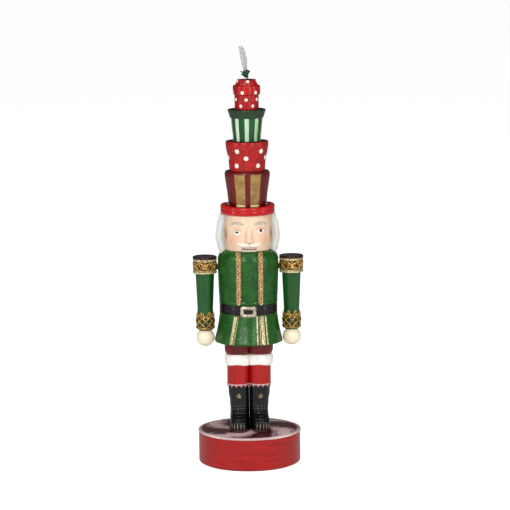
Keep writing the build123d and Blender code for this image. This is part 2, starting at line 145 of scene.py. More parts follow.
class Shape:
    """A mesh under construction. Each vertex has a tone: 0 on the open surface, up to 1 in a groove. Most
    paints darken by it as painted shade in grooves, creases and hollows; the gold paints as their antique
    darkening in hollows.
    """

    def __init__(self):
        self.verts, self.faces, self.tones = [], [], []

    def skin(self, rings, tones=None, loop=False):
        """Join equal rings of points into a closed skin; loop joins the last ring to the first."""
        start, size = len(self.verts), len(rings[0])
        for i, ring in enumerate(rings):
            self.verts += ring
            self.tones += tones[i] if tones else [0.0] * size
        count = len(rings)
        for i in range(count if loop else count - 1):
            a, b = start + i * size, start + (i + 1) % count * size
            for j in range(size):
                k = (j + 1) % size
                self.faces.append((a + j, a + k, b + k, b + j))
        if not loop:
            last = start + (count - 1) * size
            for ring, first, flip in ((rings[0], start, True), (rings[-1], last, False)):
                centre = sum(ring, Vector()) / size
                self.verts.append(centre)
                self.tones.append(0.0)
                tip = len(self.verts) - 1
                for j in range(size):
                    face = (first + j, first + (j + 1) % size, tip)
                    self.faces.append(face[::-1] if flip else face)
        return self

    def lathe(self, outline, centre=(0, 0), segments=128, carve=None):
        """Turn a (radius, height) outline, low to high. carve(angle, height) gives (added radius, tone)."""
        rings, tones = [], []
        for r, z in outline:
            ring, tone = [], []
            for j in range(segments):
                angle = TAU * j / segments
                extra, shade = carve(angle, z) if carve else (0.0, 0.0)
                share = min(1, r / (2 * MM))  # the carving fades out at the axis
                ring.append(polar(centre, max(r + extra * share, 0.01 * MM), angle, z))
                tone.append(shade)
            rings.append(ring)
            tones.append(tone)
        return self.skin(rings, tones)

    def tube(self, path, thickness, sides=10, loop=False, tone=0.0):
        """A round cord along a path; thickness is a number, or a function of 0..1 along it."""
        path = [Vector(p) for p in path]
        count = len(path)
        rings, tones = [], []
        normal = None
        for i, point in enumerate(path):
            ahead = path[(i + 1) % count] if loop or i < count - 1 else point
            behind = path[i - 1] if loop or i > 0 else point
            along = (ahead - behind).normalized()
            if normal is None:
                normal = along.orthogonal().normalized()
            normal = (normal - along * normal.dot(along)).normalized()
            other = along.cross(normal)
            size = thickness(i / (count - 1)) if callable(thickness) else thickness
            ring = [
                point + (normal * math.cos(TAU * j / sides) + other * math.sin(TAU * j / sides)) * size
                for j in range(sides)
            ]
            rings.append(ring)
            tones.append([tone] * sides)
        return self.skin(rings, tones, loop)

    def ball(self, centre, radii, rows=14, columns=20, turn=None, carve=None, tone=0.0):
        """An ellipsoid; turn is a rotation, carve(direction) scales it."""
        rings, tones = [], []
        for i in range(rows):
            lat = math.pi * ((i + 0.35) / (rows - 0.3) - 0.5)
            ring = []
            for j in range(columns):
                lon = TAU * j / columns
                way = Vector((math.cos(lat) * math.cos(lon), math.cos(lat) * math.sin(lon), math.sin(lat)))
                size = carve(way) if carve else 1.0
                point = Vector(a * b * size for a, b in zip(way, radii))
                ring.append(Vector(centre) + (turn @ point if turn else point))
            rings.append(ring)
            tones.append([tone] * columns)
        return self.skin(rings, tones)

    def plate(self, outer, inner, tones=None, inner_tone=0.0):
        """A closed plate between two equal grids of points."""
        rows, columns = len(outer), len(outer[0])
        start, back = len(self.verts), rows * columns
        for row in outer + inner:
            self.verts += row
        self.tones += [tone for row in tones for tone in row] if tones else [0.0] * back
        self.tones += [inner_tone] * back
        index = [[start + i * columns + j for j in range(columns)] for i in range(rows)]
        for this, above in zip(index, index[1:]):
            for a, b, c, d in zip(this, this[1:], above[1:], above):
                self.faces += [(a, b, c, d), (d + back, c + back, b + back, a + back)]
        border = index[0] + [row[-1] for row in index[1:]]
        border += index[-1][-2::-1] + [row[0] for row in index[-2:0:-1]]
        for a, b in zip(border, border[1:] + border[:1]):
            self.faces.append((b, a, a + back, b + back))
        return self

    def sheet(self, grid, thickness):
        """A thin curved plate on a grid of (point, outward normal) pairs."""
        outer = [[point + normal * thickness for point, normal in row] for row in grid]
        return self.plate(outer, [[point for point, _ in row] for row in grid])


def piece(name, shape, paint, sharp=50, body="figure", node=None):
    """Make a finished object from a shape: smooth shaded, painted, and riding on its body.

    It replaces the CAD node that is given, or else the one of its own name, if there is one."""
    mesh = bpy.data.meshes.new(name)
    mesh.from_pydata(shape.verts, [], shape.faces)
    mesh.update()
    tone = mesh.attributes.new("tone", "FLOAT", "POINT")
    tone.data.foreach_set("value", shape.tones)
    mesh.polygons.foreach_set("use_smooth", [True] * len(mesh.polygons))
    mesh.set_sharp_from_angle(angle=math.radians(sharp))
    mesh.materials.append(PAINTS[paint])
    obj = bpy.data.objects.new(name, mesh)
    bpy.context.scene.collection.objects.link(obj)
    outward(obj)
    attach(obj, body)
    if node or name in BOX:
        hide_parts(node or name)
    return obj


def outward(obj):
    """Turn every face's normal outward."""
    work = bmesh.new()
    work.from_mesh(obj.data)
    bmesh.ops.recalc_face_normals(work, faces=work.faces)
    work.to_mesh(obj.data)
    work.free()


def cut_box(obj, corner, other):
    """Cut a box out of a closed mesh."""
    lo, hi = Vector(corner), Vector(other)
    corners = ((lo.x, lo.y), (hi.x, lo.y), (hi.x, hi.y), (lo.x, hi.y))
    block = Shape().skin([[Vector((x, y, z)) for x, y in corners] for z in (lo.z, hi.z)])
    mesh = bpy.data.meshes.new("cutter")
    mesh.from_pydata(block.verts, [], block.faces)
    cutter = bpy.data.objects.new("cutter", mesh)
    bpy.context.scene.collection.objects.link(cutter)
    outward(cutter)
    step = obj.modifiers.new("cut", "BOOLEAN")
    step.operation = "DIFFERENCE"
    step.solver = "EXACT"
    step.object = cutter
    bpy.context.view_layer.update()
    result = bpy.data.meshes.new_from_object(obj.evaluated_get(bpy.context.evaluated_depsgraph_get()))
    obj.modifiers.remove(step)
    obj.data = result
    bpy.data.objects.remove(cutter)


# ---------- materials
def srgb(red, green, blue):
    """A display colour of 0 to 255 steps as linear values."""
    steps = (value / 255 for value in (red, green, blue))
    return tuple(v / 12.92 if v <= 0.04045 else ((v + 0.055) / 1.055) ** 2.4 for v in steps) + (1.0,)


def dimmed(colour, share):
    """A darker colour."""
    return tuple(value * share for value in colour[:3]) + (1,)


# The strength of the painted shade that lacquer and glitter get in grooves and creases.
GROOVE_SHADE = 0.8  # how far paint darkens in a groove


class Paint:
    """A procedural material: one Principled shader and the textures that feed it."""

    def __init__(self, name, base, roughness, **sockets):
        self.material = bpy.data.materials.new(name)
        self.material.use_nodes = True
        self.nodes = self.material.node_tree.nodes
        self.links = self.material.node_tree.links
        self.shader = self.nodes["Principled BSDF"]
        self.shader.inputs["Base Color"].default_value = base
        self.shader.inputs["Roughness"].default_value = roughness
        for socket, value in sockets.items():
            self.shader.inputs[socket.replace("_", " ")].default_value = value
        self.place = self.nodes.new("ShaderNodeTexCoord").outputs["Object"]

    def node(self, kind, inputs=(), **settings):
        """Add a node; inputs are values or sockets by input name or number."""
        made = self.nodes.new(kind)
        for key, value in settings.items():
            setattr(made, key, value)
        for key, value in dict(inputs).items():
            if isinstance(value, bpy.types.NodeSocket):
                self.links.new(value, made.inputs[key])
            else:
                made.inputs[key].default_value = value
        return made

    def stretched(self, stretch):
        """Object coordinates scaled by stretch."""
        if stretch == (1, 1, 1):
            return self.place
        return self.node("ShaderNodeMapping", {"Vector": self.place, "Scale": stretch}).outputs["Vector"]

    def noise(self, size, detail=3, stretch=(1, 1, 1), distortion=0.0):
        """Soft noise with features of about size metres."""
        inputs = {"Vector": self.stretched(stretch), "Scale": 1 / size, "Detail": detail}
        return self.node("ShaderNodeTexNoise", inputs | {"Distortion": distortion}).outputs["Fac"]

    def tone(self):
        """The mesh's own groove value: how much painted shade a vertex gets."""
        return self.node("ShaderNodeAttribute", attribute_name="tone").outputs["Fac"]

    def span(self, value, low_in, high_in, low_out=0.0, high_out=1.0):
        """Stretch a value to a new range."""
        ends = {"From Min": low_in, "From Max": high_in, "To Min": low_out, "To Max": high_out}
        return self.node("ShaderNodeMapRange", {"Value": value} | ends).outputs["Result"]

    def math(self, operation, first, second=0.0):
        """One arithmetic step."""
        return self.node("ShaderNodeMath", {0: first, 1: second}, operation=operation).outputs[0]

    def mix(self, factor, first, second):
        """Blend two colours."""
        return self.node("ShaderNodeMix", {0: factor, 6: first, 7: second}, data_type="RGBA").outputs[2]

    def near(self, point, reach):
        """1 at a point, falling to 0 at reach metres from it."""
        away = self.node("ShaderNodeVectorMath", {0: self.place, 1: point}, operation="DISTANCE")
        return self.span(away.outputs["Value"], 0.0, reach, 1.0, 0.0)

    def axis(self, letter):
        """One coordinate."""
        return self.node("ShaderNodeSeparateXYZ", {"Vector": self.place}).outputs[letter]

    def feed(self, socket, value):
        """Drive one of the shader's sockets."""
        self.links.new(value, self.shader.inputs[socket])

    def bump(self, height, distance, strength=1.0, under=None):
        """Relief of distance metres from a height; returns it so that reliefs can be stacked."""
        inputs = {"Height": height, "Distance": distance, "Strength": strength}
        if under:
            inputs["Normal"] = under
        made = self.node("ShaderNodeBump", inputs).outputs["Normal"]
        self.feed("Normal", made)
        return made


def lacquer(name, bright, dark, roughness=0.3, streak=(1, 1, 0.12), depth=0.6):
    """Brushed gloss paint over turned wood; depth says how strongly its brush marks show."""
    paint = Paint(name, bright, roughness, Coat_Weight=0.2, Coat_Roughness=0.12, Specular_IOR_Level=0.3)
    brush = paint.noise(0.006, 4, streak)
    cloud = paint.noise(0.03, 2)
    shade = paint.mix(paint.span(brush, 0.35, 0.7, 1 - depth, 1.0), dark, bright)
    shade = paint.mix(paint.span(cloud, 0.55, 0.85, 0.0, 0.35 * depth), shade, dark)
    # Painted shade: grooves and creases darken toward a near-black by the mesh's tone.
    shade = paint.mix(paint.math("MULTIPLY", paint.tone(), GROOVE_SHADE), shade, dimmed(dark, 0.2))
    paint.feed("Base Color", shade)
    paint.feed("Roughness", paint.span(brush, 0.3, 0.8, roughness * 0.85, roughness * 1.3))
    under = paint.bump(brush, 0.0001 * depth)
    paint.bump(paint.noise(0.0012, 2), 0.00003, 1.0, under)
    return paint.material


def glitter(name, bright, dark, sparkle, roughness=0.42):
    """Paint filled with fine flakes that each catch the light differently."""
    paint = Paint(name, bright, roughness, Coat_Weight=0.12, Coat_Roughness=0.2, Specular_IOR_Level=0.3)
    flakes_per_metre = 1700.0
    flakes = paint.node("ShaderNodeTexVoronoi", {"Vector": paint.place, "Scale": flakes_per_metre})
    pick = paint.node("ShaderNodeSeparateColor", {"Color": flakes.outputs["Color"]}).outputs
    cloud = paint.noise(0.011, 4)
    shade = paint.mix(paint.span(cloud, 0.35, 0.68), dark, bright)
    shade = paint.mix(paint.span(pick["Red"], 0.2, 1.0, 0.0, 0.35), shade, dark)
    lit = paint.math("GREATER_THAN", pick["Green"], 0.94)
    shade = paint.mix(paint.math("MULTIPLY", lit, 0.5), shade, sparkle)
    # Painted shade: grooves and folds darken toward a near-black by the mesh's tone.
    shade = paint.mix(paint.math("MULTIPLY", paint.tone(), GROOVE_SHADE), shade, dimmed(dark, 0.2))
    paint.feed("Base Color", shade)
    paint.feed("Metallic", paint.math("MULTIPLY", lit, 0.8))
    paint.feed("Roughness", paint.span(pick["Blue"], 0.0, 1.0, roughness * 0.6, roughness * 1.3))
    under = paint.bump(pick["Red"], 0.00009)
    paint.bump(cloud, 0.00015, 0.6, under)
    return paint.material


def gold(name, bright, dark, roughness=0.32, metallic=0.85):
    """Antique gold paint, dark in its hollows."""
    paint = Paint(name, bright, roughness, Metallic=metallic)
    wear = paint.noise(0.0022, 4)
    shade = paint.mix(paint.span(wear, 0.38, 0.62), dark, bright)
    shade = paint.mix(paint.tone(), shade, dimmed(dark, 0.3))
    paint.feed("Base Color", shade)
    paint.feed("Roughness", paint.span(wear, 0.3, 0.7, roughness * 1.5, roughness * 0.8))
    paint.bump(wear, 0.00015)
    return paint.material


def soft_white(name, bright, dark, size=0.0011, relief=0.0005, roughness=0.85):
    """Matt fibres: fur, hair, felt or feather."""
    paint = Paint(name, bright, roughness, Sheen_Weight=0.35, Sheen_Roughness=0.5)
    fibre = paint.noise(size, 5, (1, 1, 0.35), 0.6)
    shade = paint.mix(paint.span(fibre, 0.35, 0.65), dark, bright)
    # Painted shade: the hollows between tufts and locks darken by the mesh's tone.
    shade = paint.mix(paint.tone(), shade, dimmed(dark, 0.55))
    paint.feed("Base Color", shade)
    paint.bump(fibre, relief)
    return paint.material


def plain_paint(name, base, shadow, roughness, coat=0.3):
    """Smooth paint with faint unevenness, and painted shade in its hollows."""
    gloss = {"Coat_Weight": coat * 0.5, "Coat_Roughness": 0.15, "Specular_IOR_Level": 0.3}
    paint = Paint(name, base, roughness, **gloss)
    cloud = paint.noise(0.008, 3)
    shade = paint.mix(paint.span(cloud, 0.4, 0.75, 0.0, 0.3), base, shadow)
    # Painted shade: hollows and grooves take the shadow colour by the mesh's tone.
    shade = paint.mix(paint.tone(), shade, shadow)
    paint.feed("Base Color", shade)
    paint.feed("Roughness", paint.span(cloud, 0.3, 0.7, roughness * 0.85, roughness * 1.25))
    paint.bump(paint.noise(0.0015, 2), 0.00004)
    return paint.material


def swirl_paint():
    """The plinth's top: maroon glaze with pale arms that curl out from its middle like a peppermint."""
    arms, curl, start = 4, 24.0, -1.9
    rim_inner, rim_outer = 51.5 * MM, 54.5 * MM
    gloss = {"Coat_Weight": 0.1, "Coat_Roughness": 0.1, "Specular_IOR_Level": 0.2}
    paint = Paint("peppermint_glaze", srgb(90, 24, 32), 0.32, **gloss)
    angle = paint.math("ARCTAN2", paint.axis("Y"), paint.axis("X"))
    level = {0: paint.stretched((1, 1, 0))}
    reach = paint.node("ShaderNodeVectorMath", level, operation="LENGTH").outputs["Value"]
    wobble = paint.math("MULTIPLY", paint.noise(0.016, 4, (1, 1, 1), 0.8), 0.8)
    turned = paint.math("ADD", paint.math("ADD", angle, paint.math("MULTIPLY", reach, curl)), wobble)
    phase = paint.math("ADD", paint.math("MULTIPLY", turned, float(arms)), start)
    wave = paint.math("SINE", phase)
    fine = paint.math("SINE", paint.math("MULTIPLY", phase, 3.0))
    shade = paint.mix(paint.span(wave, -0.1, 0.35), srgb(76, 14, 22), srgb(228, 194, 192))
    streak = paint.math("MULTIPLY", paint.span(fine, 0.45, 0.95), paint.span(wave, -0.9, 0.6, 0.25, 0.75))
    shade = paint.mix(streak, shade, srgb(110, 50, 58))
    # A pale band round the top's edge: pale paint there, partly a painted highlight along the rounded edge.
    rim = paint.span(reach, rim_inner, rim_outer, 0.0, 0.7)
    shade = paint.mix(rim, shade, srgb(232, 204, 200))
    paint.feed("Base Color", shade)
    paint.bump(paint.noise(0.005, 3), 0.0001)
    return paint.material


def skin_paint():
    """Flesh paint with blushed cheeks, a painted brown shadow where the hair begins, and painted shade in
    the face's creases by the mesh's tone.
    """
    gloss = {"Coat_Weight": 0.1, "Coat_Roughness": 0.2, "Specular_IOR_Level": 0.3}
    paint = Paint("flesh_paint", srgb(236, 206, 176), 0.45, **gloss)
    hair_edge = 24.6 * MM
    face_z = middle("head").z
    face_r = radius("head")
    cloud = paint.span(paint.noise(0.006, 4), 0.4, 0.7, 0, 0.5)
    shade = paint.mix(cloud, srgb(236, 208, 180), srgb(226, 188, 156))
    for _, side in SIDES:
        cheek = (side * face_r * 0.62, -face_r * 0.8, face_z - 6 * MM)
        blush = paint.math("POWER", paint.near(cheek, 12 * MM), 1.3)
        shade = paint.mix(paint.math("MULTIPLY", blush, 0.7), shade, srgb(228, 160, 130))
    bridge = paint.math("POWER", paint.near((0, -face_r, face_z - 3 * MM), 9 * MM), 1.2)
    shade = paint.mix(paint.math("MULTIPLY", bridge, 0.6), shade, srgb(234, 184, 160))
    # Painted shadow: a narrow brown band where the hair meets the face, strongest at eye height.
    across = paint.math("ABSOLUTE", paint.axis("X"))
    away = paint.math("ABSOLUTE", paint.math("SUBTRACT", across, hair_edge))
    tall = paint.math("ABSOLUTE", paint.math("SUBTRACT", paint.axis("Z"), face_z - 1.5 * MM))
    beside, along = paint.span(away, 0, 2.6 * MM, 1, 0), paint.span(tall, 2 * MM, 10 * MM, 1, 0.25)
    shadow = paint.math("MULTIPLY", beside, along)
    shade = paint.mix(paint.math("MULTIPLY", shadow, 0.85), shade, srgb(140, 92, 68))
    # Painted shade in the face's creases, by the mesh's tone.
    shade = paint.mix(paint.math("MULTIPLY", paint.tone(), 0.8), shade, srgb(186, 122, 96))
    paint.feed("Base Color", shade)
    paint.bump(paint.noise(0.002, 3), 0.00005)
    return paint.material


def wood_paint():
    """Bare beech with fine grain along the dowel."""
    paint = Paint("bare_beech", srgb(205, 165, 118), 0.55)
    grain = paint.noise(0.0016, 5, (1, 1, 0.08), 0.4)
    shade = paint.mix(paint.span(grain, 0.35, 0.65), srgb(170, 124, 78), srgb(216, 178, 132))
    paint.feed("Base Color", shade)
    paint.bump(grain, 0.0001)
    return paint.material


def steel_paint():
    """Plain steel with fine turning marks."""
    paint = Paint("plain_steel", srgb(160, 160, 165), 0.35, Metallic=1.0)
    marks = paint.noise(0.0006, 3, (1, 1, 6))
    paint.feed("Roughness", paint.span(marks, 0.3, 0.7, 0.28, 0.45))
    paint.bump(marks, 0.00003)
    return paint.material


GOLD_FLAKE = srgb(226, 200, 136)
FINE_STREAK = (1, 1, 0.06)
PAINTS = {
    "plinth": lacquer("plinth_lacquer", srgb(176, 16, 14), srgb(132, 8, 8), 0.36, (0.3, 0.3, 1.6)),
    "swirl": swirl_paint(),
    "felt": soft_white("black_felt", srgb(42, 42, 45), srgb(20, 20, 22), 0.0008, 0.0003, 0.95),
    "black": lacquer("black_lacquer", srgb(8, 10, 10), srgb(2, 3, 3), 0.3, (1, 1, 0.3)),
    "sole": lacquer("sole_brown", srgb(58, 20, 16), srgb(26, 8, 6), 0.4, (1, 1, 1)),
    "boot_trim": plain_paint("boot_trim_rose", srgb(206, 184, 178), srgb(96, 60, 62), 0.4),
    "old_gold": gold("old_gold_paint", srgb(188, 166, 132), srgb(104, 78, 56), 0.4, 0.4),
    "leg_red": lacquer("leg_lacquer", srgb(180, 15, 13), srgb(140, 6, 7), 0.34, (1, 1, 0.12), 0.5),
    "breeches": lacquer("breeches_lacquer", srgb(120, 10, 14), srgb(72, 2, 6), 0.34, (1, 1, 0.2)),
    "fur": soft_white("white_fur", srgb(255, 253, 248), srgb(246, 240, 232), 0.0016, 0.0003),
    "coat": glitter("green_glitter", srgb(22, 96, 20), srgb(6, 66, 10), srgb(90, 160, 70), 0.34),
    "sleeve": lacquer("sleeve_lacquer", srgb(26, 92, 34), srgb(6, 54, 14), 0.28, FINE_STREAK),
    "braid": gold("braid_gold", srgb(236, 204, 150), srgb(188, 124, 76), 0.36, 0.4),
    "pale_gold": gold("pale_gold_paint", srgb(226, 214, 168), srgb(160, 138, 88), 0.34, 0.4),
    "filigree": gold("filigree_gold", srgb(222, 186, 104), srgb(140, 96, 34), 0.3, 0.8),
    "bronze": gold("bronze_ground", srgb(116, 76, 30), srgb(52, 26, 10), 0.45, 0.6),
    "maroon": lacquer("maroon_lacquer", srgb(48, 8, 14), srgb(22, 2, 6), 0.28, (1, 1, 1)),
    "patent": lacquer("patent_black", srgb(20, 6, 10), srgb(4, 1, 3), 0.34, (1, 1, 1)),
    "buckle": gold("buckle_gold", srgb(216, 206, 182), srgb(140, 124, 96), 0.3, 0.6),
    "skin": skin_paint(),
    "hair": soft_white("sculpted_hair", srgb(250, 249, 246), srgb(236, 233, 229), 0.0016, 0.0002, 0.6),
    "brow": soft_white("brow_white", srgb(236, 228, 212), srgb(186, 168, 146), 0.0012, 0.0002, 0.6),
    "beard": soft_white("moustache_white", srgb(255, 251, 238), srgb(238, 226, 206), 0.0012, 0.0002, 0.6),
    "eye_white": plain_paint("eye_white", srgb(244, 240, 232), srgb(214, 206, 196), 0.25, 0.8),
    "pupil": plain_paint("pupil_dark", srgb(30, 30, 22), srgb(10, 10, 8), 0.16, 1.0),
    "mouth": plain_paint("mouth_rose", srgb(150, 104, 98), srgb(96, 54, 52), 0.5),
    "teeth": plain_paint("teeth_white", srgb(226, 206, 192), srgb(186, 160, 148), 0.3, 0.5),
    "hand": plain_paint("hand_cream", srgb(252, 238, 208), srgb(234, 208, 166), 0.35),
    "brim": lacquer("brim_lacquer", srgb(196, 14, 14), srgb(146, 6, 10), 0.3, (0.4, 0.4, 1.5), 0.45),
    "crown": lacquer("crown_red", srgb(122, 9, 8), srgb(54, 2, 2), 0.34, (1, 1, 0.1), 0.8),
    "crown_gold": glitter("crown_gold_glitter", srgb(176, 142, 78), srgb(132, 102, 48), GOLD_FLAKE, 0.3),
    "bead": plain_paint("bead_cream", srgb(252, 228, 184), srgb(222, 178, 122), 0.35),
    "dotted": glitter("dotted_red", srgb(190, 16, 16), srgb(150, 8, 12), srgb(226, 90, 80), 0.34),
    "dot": plain_paint("dot_white", srgb(255, 248, 230), srgb(232, 206, 180), 0.35),
    "tier_green": lacquer("tier_green", srgb(14, 88, 34), srgb(2, 48, 14), 0.3, (1, 1, 0.1)),
    "stripe": lacquer("stripe_pale_green", srgb(206, 224, 200), srgb(120, 168, 118), 0.3, FINE_STREAK, 0.8),
    "lid_green": lacquer("lid_green", srgb(36, 62, 34), srgb(18, 38, 18), 0.36, (1, 1, 1)),
    "holly": plain_paint("holly_green", srgb(26, 96, 52), srgb(8, 40, 20), 0.32, 0.6),
    "berry": plain_paint("berry_red", srgb(78, 16, 22), srgb(34, 5, 8), 0.3, 0.5),
    "plume": soft_white("plume_grey", srgb(222, 219, 218), srgb(196, 192, 191), 0.0009, 0.0002, 0.8),
    "wood": wood_paint(),
    "steel": steel_paint(),
}


def keep(node, paint):
    """Show a CAD node as it is, with a better material."""
    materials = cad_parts[node].data.materials
    if not materials:
        materials.append(PAINTS[paint])
    for index in range(len(materials)):
        materials[index] = PAINTS[paint]


# ---------- plinth
def build_plinth():
    """The turned base, and the hidden dowels, pin and screws, which keep their CAD shapes."""
    for node, paint in (
        ("felt_pad", "felt"),
        ("base_plinth", "plinth"),
        ("plinth_top", "swirl"),
        ("base_screws", "steel"),
        ("leg_dowels", "wood"),
        ("tower_dowel", "wood"),
        ("jaw_pin", "steel"),
    ):
        keep(node, paint)


# ---------- boots and legs
def foot_ring(heel, toe, z, count=96):
    """One level of a boot: the outline around a heel circle and a toe circle, each (x, y, radius).

    The inner side is drawn out to the middle plane, where the two boots meet."""
    corners = []
    rays = 180
    side = math.copysign(1, heel[0])
    stretch = (abs(heel[0]) - 0.04 * MM) / heel[2]
    for k in range(rays):
        angle = math.pi / 2 + TAU * k / rays
        way = Vector((math.cos(angle), math.sin(angle)))
        x, y, r = max((heel, toe), key=lambda c: c[0] * way.x + c[1] * way.y + c[2])
        corner = Vector((x, y)) + way * r
        inward = abs(heel[0]) - side * corner.x
        if inward > 0:
            corner.x = side * (abs(heel[0]) - inward * stretch)
        corners.append(corner)
    lengths = [0.0]
    for first, second in zip(corners, corners[1:] + corners[:1]):
        lengths.append(lengths[-1] + (second - first).length)
    ring, k = [], 0
    for i in range(count):
        goal = lengths[-1] * i / count
        while lengths[k + 1] < goal:
            k += 1
        share = (goal - lengths[k]) / (lengths[k + 1] - lengths[k])
        point = corners[k].lerp(corners[(k + 1) % rays], share)
        ring.append(Vector((point.x, point.y, z)))
    return ring


def build_boot(name, side):
    """A high boot with a toe cap and creases, its welted sole, and gold ticks at the toe."""
    sole_z, top_z = heights(f"boot_{name}")
    toe_r = 9.2 * MM
    toe_y = BOX[f"boot_{name}"][0].y + toe_r
    toe_x = abs(middle(f"leg_{name}").x) + 0.5 * MM
    levels = [  # share of the height; heel x, heel radius in mm; toe x, y, radius
        (0.00, 11.2, 10.2, toe_x, toe_y, toe_r - 0.3 * MM),
        (0.05, 11.2, 10.3, toe_x, toe_y, toe_r),
        (0.16, 11.2, 10.3, toe_x, toe_y + 0.3 * MM, toe_r - 0.2 * MM),
        (0.23, 11.1, 10.2, toe_x, toe_y + 2.6 * MM, toe_r - 0.8 * MM),
        (0.29, 10.9, 10.2, toe_x - 0.6 * MM, toe_y + 6.4 * MM, toe_r - 1.0 * MM),
        (0.35, 10.7, 10.2, toe_x - 1.2 * MM, toe_y + 10.4 * MM, toe_r - 0.8 * MM),
        (0.42, 10.6, 10.2, 11.0 * MM, -1.9 * MM, 9.5 * MM),
        (0.60, 10.8, 10.5, 10.8 * MM, -0.6 * MM, 10.2 * MM),
        (0.85, 11.5, 11.2, 11.5 * MM, -0.2 * MM, 11.0 * MM),
        (1.00, 11.7, 11.4, 11.7 * MM, -0.1 * MM, 11.2 * MM),
    ]
    creases = ((0.40, 0.9), (0.47, 0.6), (0.53, 0.3))  # share of the height, depth
    ankle = 0.33  # the share of the height below which the toe cap's line runs
    rings, tones = [], []
    steps = 90
    for i in range(steps + 1):
        t = i / steps
        heel_x, heel_r, front_x, front_y, front_r = between(levels, t)
        crease = 0.0
        for centre, depth in creases:
            crease += depth * math.exp(-(((t - centre) / 0.013) ** 2))
        heel = (side * heel_x * MM, 0, heel_r * MM)
        ring = foot_ring(heel, (side * front_x, front_y, front_r), sole_z + (top_z - sole_z) * t)
        tone = []
        for point in ring:
            way = Vector((point.x - heel[0], point.y - front_y / 2, 0)).normalized()
            frontness = max(0.0, -way.y) ** 2
            cap = math.exp(-(((point.y - toe_y - 1.5 * MM) / (0.5 * MM)) ** 2)) if t < ankle else 0.0
            point -= way * (crease * frontness * 0.6 + cap * 0.35) * MM
            # The creases and the toe cap's line get painted shade as well as their grooves.
            tone.append(min(1.0, crease * frontness + cap))
        rings.append(ring)
        tones.append(tone)
    piece(f"boot_{name}", Shape().skin(rings, tones), "black")

    base_z = low(f"boot_sole_{name}")
    rings = []
    for grow, t in ((0.3, 0.0), (0.8, 0.15), (0.8, 0.55), (0.35, 0.7), (0.7, 0.85), (0.4, 1.0)):
        heel = (side * 11.2 * MM, 0, (10.3 + grow) * MM)
        toe = (side * toe_x, toe_y, toe_r + grow * MM)
        rings.append(foot_ring(heel, toe, base_z + (sole_z - base_z) * t))
    piece(f"boot_sole_{name}", Shape().skin(rings), "sole")

    ticks = Shape()
    count, fan = 6, 116
    for i in range(count):
        angle = FRONT + math.radians(fan * i / (count - 1) - fan / 2)
        path = []
        for share in (0, 0.2, 0.5, 0.8, 1):
            inset = 0.12 + 0.5 * share**2
            path.append(polar(toe[:2], toe_r - inset * MM, angle, sole_z + (0.2 + 6.0 * share) * MM))
        ticks.tube(path, lambda t: 0.5 * MM * math.sin(math.pi * (0.15 + 0.7 * t)), 8)
    piece(f"boot_toe_ticks_{name}", ticks, "old_gold")


def build_leg(name, side):
    """A leg dowel, and the scalloped pale trim where it enters the boot."""
    centre = (side * abs(middle(f"leg_{name}").x), 0)
    leg_r = radius(f"leg_{name}")
    hi = high(f"boot_cuff_{name}")
    outer = leg_r + 0.4 * MM
    scallops, count, bands = 14, 238, 5
    trim = Shape()
    rings = []
    for level in range(bands + 1):
        ring = []
        for j in range(count):
            angle = TAU * j / count
            droop = 1 - abs(math.sin(angle * scallops / 2)) ** 0.6
            bottom = hi - 1.0 * MM - 2.0 * MM * droop
            puff = 0.25 * MM * math.sin(math.pi * level / bands)
            ring.append(polar(centre, outer + puff, angle, bottom + (hi - bottom) * level / bands))
        rings.append(ring)
    inner = circle(centre, leg_r + 0.06 * MM, hi, count)
    inner_low = [Vector((p.x, p.y, edge.z)) for p, edge in zip(inner, rings[0])]
    trim.skin(rings + [inner, inner_low], loop=True)
    trim.tube(circle(centre, outer + 0.1 * MM, hi - 0.45 * MM, 96), 0.45 * MM, 10, loop=True)
    for tip in circle(centre, outer + 0.1 * MM, hi - 3.0 * MM, scallops):
        trim.ball(tip, (0.5 * MM,) * 3, 8, 10)
    keep_side(trim, side)
    piece(f"boot_cuff_{name}", trim, "boot_trim")

    lo, hi = heights(f"leg_{name}")
    cover = leg_r + 0.35 * MM
    leg = Shape().lathe(refine([(AXIS, lo), (cover, lo), (cover, hi), (AXIS, hi)], 2 * MM), centre, 128)
    keep_side(leg, side)
    piece(f"leg_{name}", leg, "leg_red")


def keep_side(shape, side):
    """Flatten a piece against the middle plane, so that its twin fits beside it."""
    edge = 0.06 * MM
    for vertex in shape.verts:
        if vertex.x * side < edge:
            vertex.x = side * edge


def build_boot_ornaments():
    """A small gold rosette with five petals on the front of each boot."""
    shape = Shape()
    centre = middle("boot_ornaments")
    for _, side in SIDES:
        x = side * (BOX["boot_ornaments"][1].x - 2.6 * MM)
        y = BOX["boot_ornaments"][0].y + 1.1 * MM
        shape.ball((x, y - 0.3 * MM, centre.z), (1.15 * MM, 0.9 * MM, 1.15 * MM))
        for k in range(5):
            angle = math.pi / 2 + TAU * k / 5
            spot = (x + 1.8 * MM * math.cos(angle), y + 0.1 * MM, centre.z + 1.8 * MM * math.sin(angle))
            turn = Matrix.Rotation(-angle, 3, "Y")
            shape.ball(spot, (1.35 * MM, 0.65 * MM, 0.85 * MM), turn=turn)
    piece("boot_ornaments", shape, "old_gold")


def fur_noise(angle, z, size, seed):
    """Tufts on a ring of fur."""
    spot = Vector((math.cos(angle) * 6, math.sin(angle) * 6, z / size))
    big = noise.noise(spot * 0.9 + Vector((seed, 0, 0)))
    fine = noise.noise(spot * 2.7 + Vector((0, seed, 0)))
    return 0.65 * big + 0.35 * fine


